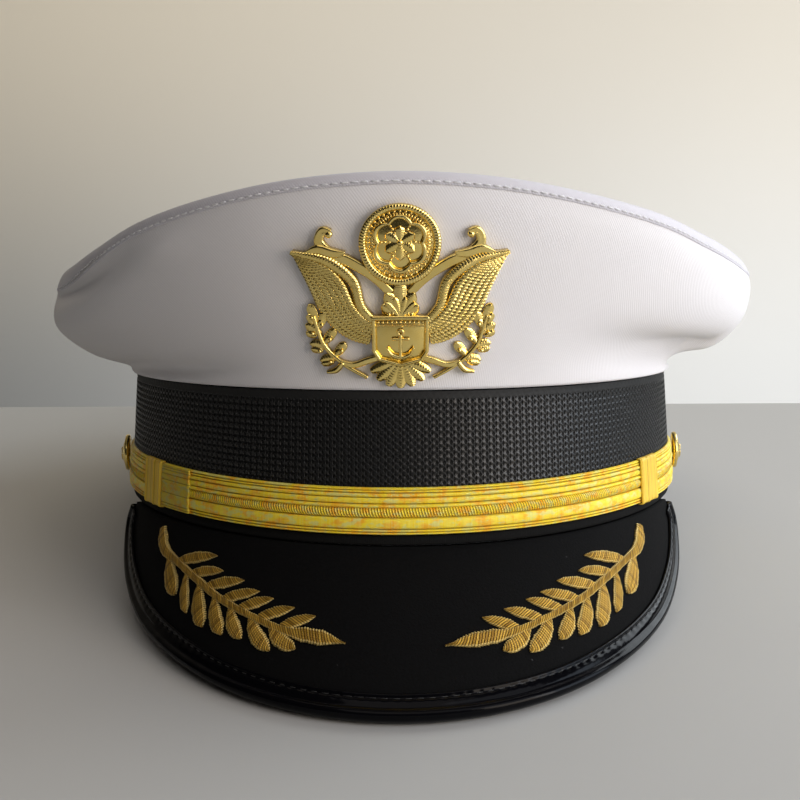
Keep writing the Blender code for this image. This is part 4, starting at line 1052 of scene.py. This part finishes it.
def spray(side):
    """Stem and leaves of satin stitch, drawn flat and then laid on the peak."""
    name = "right" if side > 0 else "left"
    shape = Shape()
    fine = 0.14

    def teeth(walk, n):
        """Uneven ends of the stitches along a leaf's edge."""
        t = walk / THREAD
        uneven = np.sin(2.1 * np.floor(t) + n) * 0.5 + np.sin(5.3 * np.floor(t) + 2 * n) * 0.5
        return 1 + 0.06 * np.sin(2 * math.pi * t) + 0.075 * uneven

    def laid(p):
        """Both sprays lie a little to the left towards the middle of the peak."""
        near = 1 - p[:, :1] / SPRAY_STEM[0][0]
        return on_peak(p + side * near * [-1.0, 0.4, 0.0], side)

    for n, (bu, bv, tu, tv, half) in enumerate(SPRAY_LEAVES):
        # the leaves below the stem are rounder
        bow, wide, swell = ((-0.9, 0.86, (0.30, 0.52, 0.88, 1.0, 0.78, 0.10)) if tv > bv + 4
                            else (0.3, 0.77, (0.42, 0.74, 1.0, 0.95, 0.55, 0.06)))
        path, t = bowed((bu, bv), (tu, tv), bow, int(math.hypot(tu - bu, tv - bv) / fine))
        width = half * wide * spline(t, [0, 0.12, 0.35, 0.62, 0.85, 1.0], swell)
        strand(shape, path, width * teeth(walked(path), n), satin)
    stem = np.array(SPRAY_STEM)
    if side < 0:
        # the left spray's last leaf is shorter
        stem[-2:, 0] += 0.4, 1.2
    knots = walked(stem[:, :2])
    walk = np.linspace(0, knots[-1], int(knots[-1] / fine))
    path = np.stack([spline(walk, knots, stem[:, i]) for i in (0, 1)], 1)
    width = np.maximum(curve(walk, knots, stem[:, 2]), 0.1)
    strand(shape, path, width * teeth(walk, 0.5), lambda w, k, h: 0.22 + satin(w, k, h))
    shape.build("spray_%s_thread" % name, "gold_thread", ["spray_" + name], laid)


def visor():
    phi, w = visor_edge(161)
    edge, ew = edge_shift(phi, w, -1.9)
    root = np.linspace(-1, 1, len(phi)) * 66.6
    t = np.linspace(0, 1, 25)
    gp = root[:, None] + (edge - root)[:, None] * t
    gw = np.maximum(ew, 0.8)[:, None] * t
    outer, n = visor_base(gp, gw), visor_frame(gp, gw)[2]
    inner = outer - n * VISOR_BOARD
    # the edge at the band is cut upright
    flat = n[:, 0] * np.array([1, 1, 0])
    size = np.linalg.norm(flat, axis=1, keepdims=True)
    inner[:, 0] = outer[:, 0] - flat / size * (VISOR_BOARD / size)
    Shape().wall(outer, inner, np.stack([gp * 1.7, gw], -1)).build("peak_felt_cloth", "felt",
                                                                   ["visor"])


def visor_binding():
    """Patent edge, drawn in at each of the stitches that hold it."""
    stitch_in, stitch_up = -5.7, 0.62
    phi, w = visor_edge(641)
    walk = walked(visor_base(phi, w))
    pull = 0.07 * np.cos(2 * math.pi * walk / PEAK_STITCH)
    outer, inner = (np.stack([visor_point(*edge_shift(phi, w, out),
                                          up + bell(out, stitch_in, 0.75) * tug)
                              for out, up in table], 1)
                    for table, tug in ((BINDING, pull), (BINDING_INSIDE, 0.0)))
    rings = np.concatenate([outer, inner[:, ::-1]], 1)
    rings[..., 2] = np.minimum(rings[..., 2], -GAP - 0.05)
    section = walked(rings[len(phi) // 2])
    Shape().tube(rings, spread(walk, np.append(section, section[-1]))).build(
        "peak_binding_patent", "patent_leather", ["visor_binding"])
    at = (np.arange(int(walk[-1] / PEAK_STITCH)) + 0.5) * PEAK_STITCH
    place = edge_shift(phi, w, stitch_in)
    line = visor_point(*place, stitch_up)
    centre = sampled(at, walk, line)
    along = unit(sampled(at + 0.4, walk, line) - centre)
    out = unit(sampled(at, walk, visor_frame(*place)[2]))
    keep = centre[:, 2] < -4.0
    shape = Shape()
    bars(shape, centre[keep], along[keep], out[keep], PEAK_STITCH * 0.62, 0.15)
    shape.build("peak_binding_stitches", "black_thread")


def feather(shape, base, tip, half, ridge, bow=-0.35, low=0.0, barbs=0.5, tip_share=0.14,
            comb_depth=0.17):
    length = math.hypot(tip[0] - base[0], tip[1] - base[1])
    path, t = bowed(base, tip, bow, max(14, int(length / 0.14)))
    width = half * spline(t, [0, 0.25, 0.6, 0.85, 1.0], [0.5, 0.86, 1.0, 0.8, tip_share])

    def lift(walk, k, h):
        comb = np.abs(np.sin(math.pi * (walk - 0.8 * np.abs(k) * h) / barbs))**0.8
        shaft = 0.22 * np.exp(-(k / 0.16)**2)
        return (ridge * (0.62 + 0.30 * (1 - k * k)) + shaft
                + comb_depth * comb * (np.abs(k) > 0.12))

    strand(shape, path, width, lift, 9, low)


def rounded(shape, rows, ridge, step=0.25, low=0.0, smooth=True, hollow=0.0, ticks=0.0):
    """Bar through the rows of a table: round-topped, or hollowed, or with ticks along it."""
    rows = np.array(rows, float)
    walk = walked(rows[:, :2])
    fine = np.linspace(0, walk[-1], max(8, int(walk[-1] / step)))
    way = spline if smooth else np.interp
    path = np.stack([way(fine, walk, rows[:, i]) for i in (0, 1)], 1)
    width = np.interp(fine, walk, rows[:, 2])

    def lift(w, k, h):
        high = ridge - 0.9 * h * (1 - np.sqrt(np.clip(1 - 0.95 * k * k, 0, 1)))
        high = high - hollow * (1 - k * k)**2
        if ticks:
            high = high - 0.6 * (1 - np.abs(np.sin(math.pi * (w + 0.9 * k) / ticks)))
        return high

    strand(shape, path, width, lift, 11 if hollow else 9, low)


def ring_bar(shape, cv, r_in, r_out, height, low, lobes=0, depth=0.0, count=96, cut=0.0, teeth=0):
    """Raised ring, round or lobed, with an optional rope cut round it."""
    a = np.linspace(0, 2 * math.pi, count, endpoint=False)[:, None]
    wave = 1.0 + depth * np.abs(np.sin(lobes * a / 2)) if lobes else 1.0
    q = np.linspace(0, math.pi, 8)[None, :]
    mid, half = (r_in + r_out) / 2, (r_out - r_in) / 2
    r = (mid - half * np.cos(q)) * wave
    bite = cut * np.abs(np.sin(teeth * a / 2 + q * 0.8)) if teeth else 0.0
    h = height - half * (1 - np.sin(q)) * 0.8 - bite * np.sin(q)
    ring = np.stack(np.broadcast_arrays(r * np.cos(a), cv + r * np.sin(a), h), -1)
    feet = ring[:, [-1, 0]].copy()
    feet[..., 2] = low
    shape.grid(np.concatenate([ring, feet], 1), None, True, True)


def plate(shape, outline, height, low, inset=0.35):
    """Flat plate with a bevelled edge."""
    outline = np.array(outline, float)
    centre = outline.mean(0)
    inner = centre + (outline - centre) * (1 - inset / np.linalg.norm(outline - centre, axis=1)
                                           .mean())
    rows = [np.column_stack([outline, np.full(len(outline), h)]) for h in (low, height - 0.25)]
    rows.append(np.column_stack([inner, np.full(len(outline), height)]))
    shape.tube(np.array(rows))


def badge():
    shape = Shape()
    for side in (1, -1):
        half = Shape()
        rounded(half, WING_BONE, 2.6, 0.12, ticks=0.75)
        # long feathers that sweep down from the wing's tip, each lapping over the next one out
        wing = np.array(WING_FEATHERS)
        root, tip = wing[:, :2], wing[:, 2:4]
        for k, share in enumerate((0.97, 0.81, 0.65, 0.49, 0.34, 0.20)):
            line = root + share * (tip - root)
            wide = 0.10 * np.linalg.norm(tip - root, axis=1) + 0.1
            rows = [(26.9, 38.0, 0.25)] + [(u, v, w) for (u, v), w in zip(line, wide)]
            rounded(half, rows, 1.35 + 0.22 * k, 0.11, ticks=0.95)
        scroll = [(u, v, w * 1.35) for u, v, w in SCROLL]
        rounded(half, scroll, 2.0, 0.2, hollow=0.45)
        ball(half, (17.5, 42.0, 1.2), 0.95)
        rounded(half, [(13.6, 37.2, 0.5), (16.4, 37.4, 1.1), (20.6, 38.6, 1.2), (23.4, 38.0, 0.4)],
                2.3, 0.2, hollow=0.3)
        rounded(half, SPRIG_STEM, 1.5)
        for k, (bu, bv, tu, tv, w) in enumerate(SPRIG_LEAVES):
            feather(half, (bu, bv), (bu + (tu - bu) * 1.15, bv + (tv - bv) * 1.15), w * 1.25,
                    0.98 + 0.05 * (k % 2), bow=0.2, barbs=0.7, tip_share=0.2)
            mu, mv = bu + (tu - bu) * 0.2 + 0.3, bv + (tv - bv) * 0.2 - 0.9
            feather(half, (mu, mv), (mu + (tu - bu) * 0.8, mv + (tv - bv) * 0.62), w * 0.95,
                    1.25, bow=-0.2, low=0.3, barbs=0.6, tip_share=0.2)
        for u, v in ((22.9, 21.6), (20.3, 19.6), (22.9, 17.4), (18.3, 15.6), (21.2, 12.4),
                     (15.3, 12.4), (18.4, 9.2)):
            ball(half, (u, v, 1.3), 0.55)
        rounded(half, [(5.0, 10.6, 0.8), (8.5, 9.4, 1.0), (12.6, 8.2, 0.9), (15.6, 9.2, 0.6)], 1.7,
                0.2, hollow=0.25)
        rounded(half, [(15.0, 9.0, 0.7), (17.0, 6.6, 0.95), (19.2, 6.2, 0.5)], 1.8, 0.2)
        half.verts = [v * np.array([side, 1, 1]) for v in half.verts]
        for q in half.quads:
            shape.quads.append(q + shape.count)
        shape.uvs += half.uvs
        shape.caps += [[c + shape.count for c in cap] for cap in half.caps]
        shape.verts += half.verts
        shape.count += half.count
    # medallion: plate, roped rim, rays, lobed ring, rosette
    r, cv = DISC
    a = np.radians(np.arange(0, 360, 5))
    plate(shape, np.column_stack([(r - 0.3) * np.cos(a), cv + (r - 0.3) * np.sin(a)]), 1.3, 0.0)
    ring_bar(shape, cv, r - 1.7, r, 2.3, 0.2, count=320, cut=0.28, teeth=80)
    for k in range(36):
        t = math.radians(10 * k)
        ball(shape, (1 * (r - 2.1) * math.cos(t), cv + (r - 2.1) * math.sin(t), 1.2), 0.36)
    for k in range(60):
        t = math.radians(6 * k)
        c, s = math.cos(t), math.sin(t)
        strand(shape, [(6.3 * c, cv + 6.3 * s), (6.9 * c, cv + 6.9 * s), (7.6 * c, cv + 7.6 * s)],
               [0.16, 0.24, 0.26], lambda w, k, h: 1.58 - 0.28 * np.abs(k), 3, 1.0)
    ring_bar(shape, cv, 5.0, 5.9, 2.05, 0.8, 6, 0.22, 144)
    for k in range(6):
        t = math.radians(60 * k + 30)
        c, s = math.cos(t), math.sin(t)
        feather(shape, (0.2 * c, cv + 0.2 * s), (4.2 * c, cv + 4.2 * s), 1.25, 1.65, 0.0, 1.0, 0.6)
        t += math.radians(30)
        c, s = math.cos(t), math.sin(t)
        for d, size in ((2.6, 0.34), (3.7, 0.42), (4.6, 0.34)):
            ball(shape, (d * c, cv + d * s, 1.25), size)
    ball(shape, (0, cv, 1.9), 0.75)
    # palmette between medallion and shield
    for k, (t, size) in enumerate(((-58, 5.4), (-30, 7.0), (0, 9.2), (30, 7.0), (58, 5.4))):
        q = math.radians(t)
        feather(shape, (0.3 * math.sin(q), 21.5), (size * math.sin(q), 21.5 + size * math.cos(q)),
                1.75, 1.95 + 0.03 * k, 0.0, 0.0, 0.55, 0.3)
    for t in (-44, -15, 15, 44):
        q = math.radians(t)
        feather(shape, (0.3 * math.sin(q), 21.5), (5.2 * math.sin(q), 21.5 + 5.2 * math.cos(q)),
                1.2, 2.3, 0.0, 0.5, 0.5, 0.3)
    for k in range(-3, 4):
        ball(shape, (k * 0.95, 22.6 - 0.05 * k * k, 1.9), 0.42)
    # shield with a raised border, a beaded head and a small anchor
    edge = [(-6.9, 21.6), (-6.9, 12.6), (-5.6, 10.4), (0, 8.6), (5.6, 10.4), (6.9, 12.6),
            (6.9, 21.6)]
    plate(shape, edge[::-1], 1.9, 0.0)
    rounded(shape, [(-7.2, 21.3, 0.6), (7.2, 21.3, 0.6)], 2.75, low=0.5)
    rounded(shape, [(-6.7, 21.6, 0.5), (-6.7, 12.6, 0.5), (-5.3, 10.2, 0.5), (0, 8.5, 0.5),
                    (5.3, 10.2, 0.5), (6.7, 12.6, 0.5), (6.7, 21.6, 0.5)], 2.6, low=0.5,
            smooth=False)
    for k in range(-5, 6):
        ball(shape, (k * 1.12, 20.1, 1.85), 0.36)
    rounded(shape, [(-6.2, 19.3, 0.22), (6.2, 19.3, 0.22)], 2.2, low=1.0)
    rounded(shape, [(0, 10.7, 0.45), (0, 17.0, 0.4)], 2.85, low=1.0)
    rounded(shape, [(-2.2, 15.9, 0.33), (2.2, 15.9, 0.33)], 2.7, low=1.0)
    rounded(shape, [(-3.4, 13.6, 0.15), (-2.2, 11.6, 0.5), (0, 10.8, 0.55), (2.2, 11.6, 0.5),
                    (3.4, 13.6, 0.15)], 2.85, low=1.0)
    ring = Shape()
    ring_bar(ring, 17.7, 0.35, 0.95, 2.8, 1.0, count=24)
    shape.quads.append(ring.quads[0] + shape.count)
    shape.uvs += ring.uvs
    shape.verts += ring.verts
    shape.count += ring.count
    # shell fan below the shield
    for k, t in enumerate(FAN_ANGLES):
        q = math.radians(t)
        feather(shape, (0.8 * math.sin(q), 9.8 - 0.8 * math.cos(q)),
                (8.4 * math.sin(q), 9.8 - 8.6 * math.cos(q)), 1.6, 1.5 + 0.03 * k, 0.0,
                0.0, 0.8, 0.5)
    ring_bar(shape, 9.6, 0.6, 5.2, 1.1, 0.25, count=48)
    shape.build("badge_relief", "gilt_metal", ["badge"], bend=on_crown)


def button(side):
    name = "right" if side > 0 else "left"
    centre = band_point(85.0, 10.6, 0.0)
    across = unit(band_point(86.0, 10.6, 0.0) - band_point(84.0, 10.6, 0.0))
    out = unit(np.cross(across, [0, 0, 1.0]))
    up = np.cross(out, across)
    lift = GAP + 1.3 + GAP
    shape = Shape()
    section = [(5.2, 0.0), (5.75, 0.15), (5.95, 0.55), (5.95, 1.05), (5.8, 1.35), (5.5, 1.5),
               (5.2, 1.42), (5.0, 1.3), (4.8, 1.42), (4.5, 1.62), (4.0, 1.9), (3.2, 2.2),
               (2.2, 2.45), (1.0, 2.58), (0.2, 2.6)]
    a = np.linspace(0, 2 * math.pi, 72, endpoint=False)
    shape.tube(np.array([np.stack([r * np.cos(a), r * np.sin(a), h + 0 * a], -1)
                         for r, h in section]))
    for k in range(40):
        t = 2 * math.pi * k / 40
        ball(shape, (4.75 * math.cos(t), 4.75 * math.sin(t), 1.38), 0.27, 0.9, 5, 8)
    dome = lambda r: 2.6 - 0.045 * r * r
    for rows in ([(0, -2.0, 0.38), (0, 1.9, 0.34)], [(-1.3, 1.3, 0.26), (1.3, 1.3, 0.26)],
                 [(-2.2, -0.4, 0.12), (-1.5, -1.6, 0.36), (0, -2.2, 0.4), (1.5, -1.6, 0.36),
                  (2.2, -0.4, 0.12)]):
        rounded(shape, rows, 0.45, low=-0.2)
        shape.verts[-1][:, 2] += dome(np.hypot(shape.verts[-1][:, 0], shape.verts[-1][:, 1]))
    shape.build("button_%s_gilt" % name, "gilt_metal", ["button_" + name],
                bend=lambda p: (centre + p[:, :1] * across + p[:, 1:2] * up
                                + (lift + p[:, 2:]) * out) * np.array([side, 1.0, 1.0]))


crown_side()
crown_top()
crown_stitches()
band_core()
mesh_band()
chin_strap()
strap_gimp()
strap_end()
for way in (-1, 1):
    slide(way)
    button(way)
    spray(way)
visor()
visor_binding()
badge()
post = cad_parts["badge_post"]
post.data.materials.clear()
post.data.materials.append(LOOKS["gilt_metal"][0])


# stage: a pale table that ends behind the cap, with a pale wall and floor well beyond it
def surface(name, corners, mat):
    mesh = bpy.data.meshes.new(name)
    mesh.from_pydata(corners, [], [(0, 1, 2, 3)])
    mesh.materials.append(mat)
    ob = bpy.data.objects.new(name, mesh)
    bpy.context.scene.collection.objects.link(ob)
    return ob


def stage():
    k = Look("table", (0.5, 0.5, 0.49), 0.55)
    k.colour(k.mix(k.noise(k.place(), 5.0), (0.50, 0.50, 0.495, 1), (0.54, 0.54, 0.53, 1)))
    k.put(k.shader, **{"Specular IOR Level": 0.2})
    end, far, low = 0.157, 1.6, -0.9
    surface("table", [(-6, -6, 0), (6, -6, 0), (6, end, 0), (-6, end, 0)], k.mat)
    surface("table_edge", [(-6, end, 0), (6, end, 0), (6, end, -0.025), (-6, end, -0.025)],
            k.mat)
    k = Look("wall", (0.75, 0.72, 0.66), 0.9)
    # the wall is painted with the lamps' falloff: painted shade at its lower left, painted light
    # above it and to the right
    parts = k.node("SeparateXYZ", in0=k.place())
    along = k.ramp(parts.outputs[0], -0.75, 0.45)
    up = k.ramp(parts.outputs[2], -0.45, 0.25)
    left = k.mix(up, (0.45, 0.455, 0.445, 1), (1.0, 0.90, 0.72, 1))
    right = k.mix(up, (0.78, 0.78, 0.765, 1), (0.65, 0.60, 0.515, 1))
    k.colour(k.mix(along, left, right))
    surface("wall", [(-6, far, low), (6, far, low), (6, far, 4), (-6, far, 4)], k.mat)
    k = Look("ground", (0.55, 0.53, 0.5), 0.9)
    k.colour(k.mix(k.noise(k.place(), 2.0), (0.52, 0.50, 0.47, 1), (0.58, 0.56, 0.53, 1)))
    surface("ground", [(-6, -6, low), (6, -6, low), (6, far, low), (-6, far, low)], k.mat)
    # plain pale screens round the rest of the room; they are seen, and light nothing
    k = Look("screen", (0.3, 0.3, 0.29), 0.9, **{
        "Emission Color": (0.62, 0.61, 0.59, 1), "Emission Strength": 0.5})
    k.colour(k.mix(k.noise(k.place(), 1.0), (0.30, 0.30, 0.29, 1), (0.34, 0.34, 0.33, 1)))
    for name, a, b in (("screen_left", (-6, -6), (-6, far)), ("screen_right", (6, -6), (6, far)),
                       ("screen_front", (-6, -6), (6, -6))):
        ob = surface(name, [(*a, low), (*b, low), (*b, 4), (*a, 4)], k.mat)
        ob.visible_diffuse = ob.visible_glossy = ob.visible_transmission = False


LIGHTS = [
    # name, azimuth from the front, elevation, size, watts, colour
    ("window_front", 50, 15, 1.0, 14.5, (1.0, 0.88, 0.76)),
    ("window_high", 50, 40, 1.0, 3.9, (0.90, 0.93, 1.0)),
    ("window_side", 75, 15, 1.0, 11.5, (0.75, 0.86, 1.0)),
    ("window_back", 120, 25, 1.0, 17.5, (0.88, 0.95, 1.0)),
    ("room_front", 0, 60, 1.2, 3.9, (1.0, 0.93, 0.88)),
    ("room_back", 180, 60, 1.2, 4.6, (1.0, 0.85, 0.62)),
]


def lights():
    aim = Vector((0.0, 0.0, 0.06))
    for name, azimuth, elevation, size, watts, colour in LIGHTS:
        data = bpy.data.lights.new(name, "AREA")
        data.shape, data.size = "SQUARE", size
        data.energy, data.color = watts, colour
        ob = bpy.data.objects.new(name, data)
        a, e = math.radians(azimuth), math.radians(elevation)
        away = Vector((math.sin(a) * math.cos(e), -math.cos(a) * math.cos(e), math.sin(e)))
        ob.location = aim + 1.7 * away
        ob.rotation_euler = away.to_track_quat("Z", "Y").to_euler()
        ob.visible_camera = False
        bpy.context.scene.collection.objects.link(ob)
    # brightens the right of the wall, facing away from the cap
    data = bpy.data.lights.new("wall_light", "AREA")
    data.shape, data.size, data.energy = "SQUARE", 1.2, 7.0
    ob = bpy.data.objects.new("wall_light", data)
    ob.location = (0.7, 0.75, -0.1)
    ob.rotation_euler = (math.radians(90), 0, 0)
    ob.visible_camera = False
    bpy.context.scene.collection.objects.link(ob)


def sky():
    world = bpy.data.worlds.new("sky")
    bpy.context.scene.world = world
    world.use_nodes = True
    tree = world.node_tree
    back = tree.nodes["Background"]
    co = tree.nodes.new("ShaderNodeTexCoord")
    parts = tree.nodes.new("ShaderNodeSeparateXYZ")
    tree.links.new(co.outputs["Generated"], parts.inputs[0])
    ramp = tree.nodes.new("ShaderNodeMapRange")
    ramp.inputs["From Min"].default_value, ramp.inputs["From Max"].default_value = -1.0, 1.0
    tree.links.new(parts.outputs[0], ramp.inputs["Value"])
    mix = tree.nodes.new("ShaderNodeMix")
    mix.data_type = "RGBA"
    mix.inputs[6].default_value = (0.10, 0.09, 0.08, 1)
    mix.inputs[7].default_value = (0.80, 0.82, 0.86, 1)
    tree.links.new(ramp.outputs[0], mix.inputs[0])
    tree.links.new(mix.outputs[2], back.inputs["Color"])
    back.inputs["Strength"].default_value = 0.08


def camera():
    data = bpy.data.cameras.new("camera")
    data.lens, data.sensor_width = 63.49, 36.0
    data.clip_start, data.clip_end = 0.01, 100.0
    ob = bpy.data.objects.new("camera", data)
    pitch, pan, roll = math.radians(90 - 15.2), math.radians(0.032), math.radians(-0.30)
    turn = (Matrix.Rotation(pan, 3, "Z") @ Matrix.Rotation(pitch, 3, "X")
            @ Matrix.Rotation(roll, 3, "Z"))
    place = placed(np.array([0.0, -475.37, 69.51]))
    ob.matrix_world = Matrix.Translation(Vector(place)) @ turn.to_4x4()
    bpy.context.scene.collection.objects.link(ob)
    bpy.context.scene.camera = ob
    bpy.context.scene.view_settings.view_transform = "Standard"


stage()
sky()
lights()
camera()
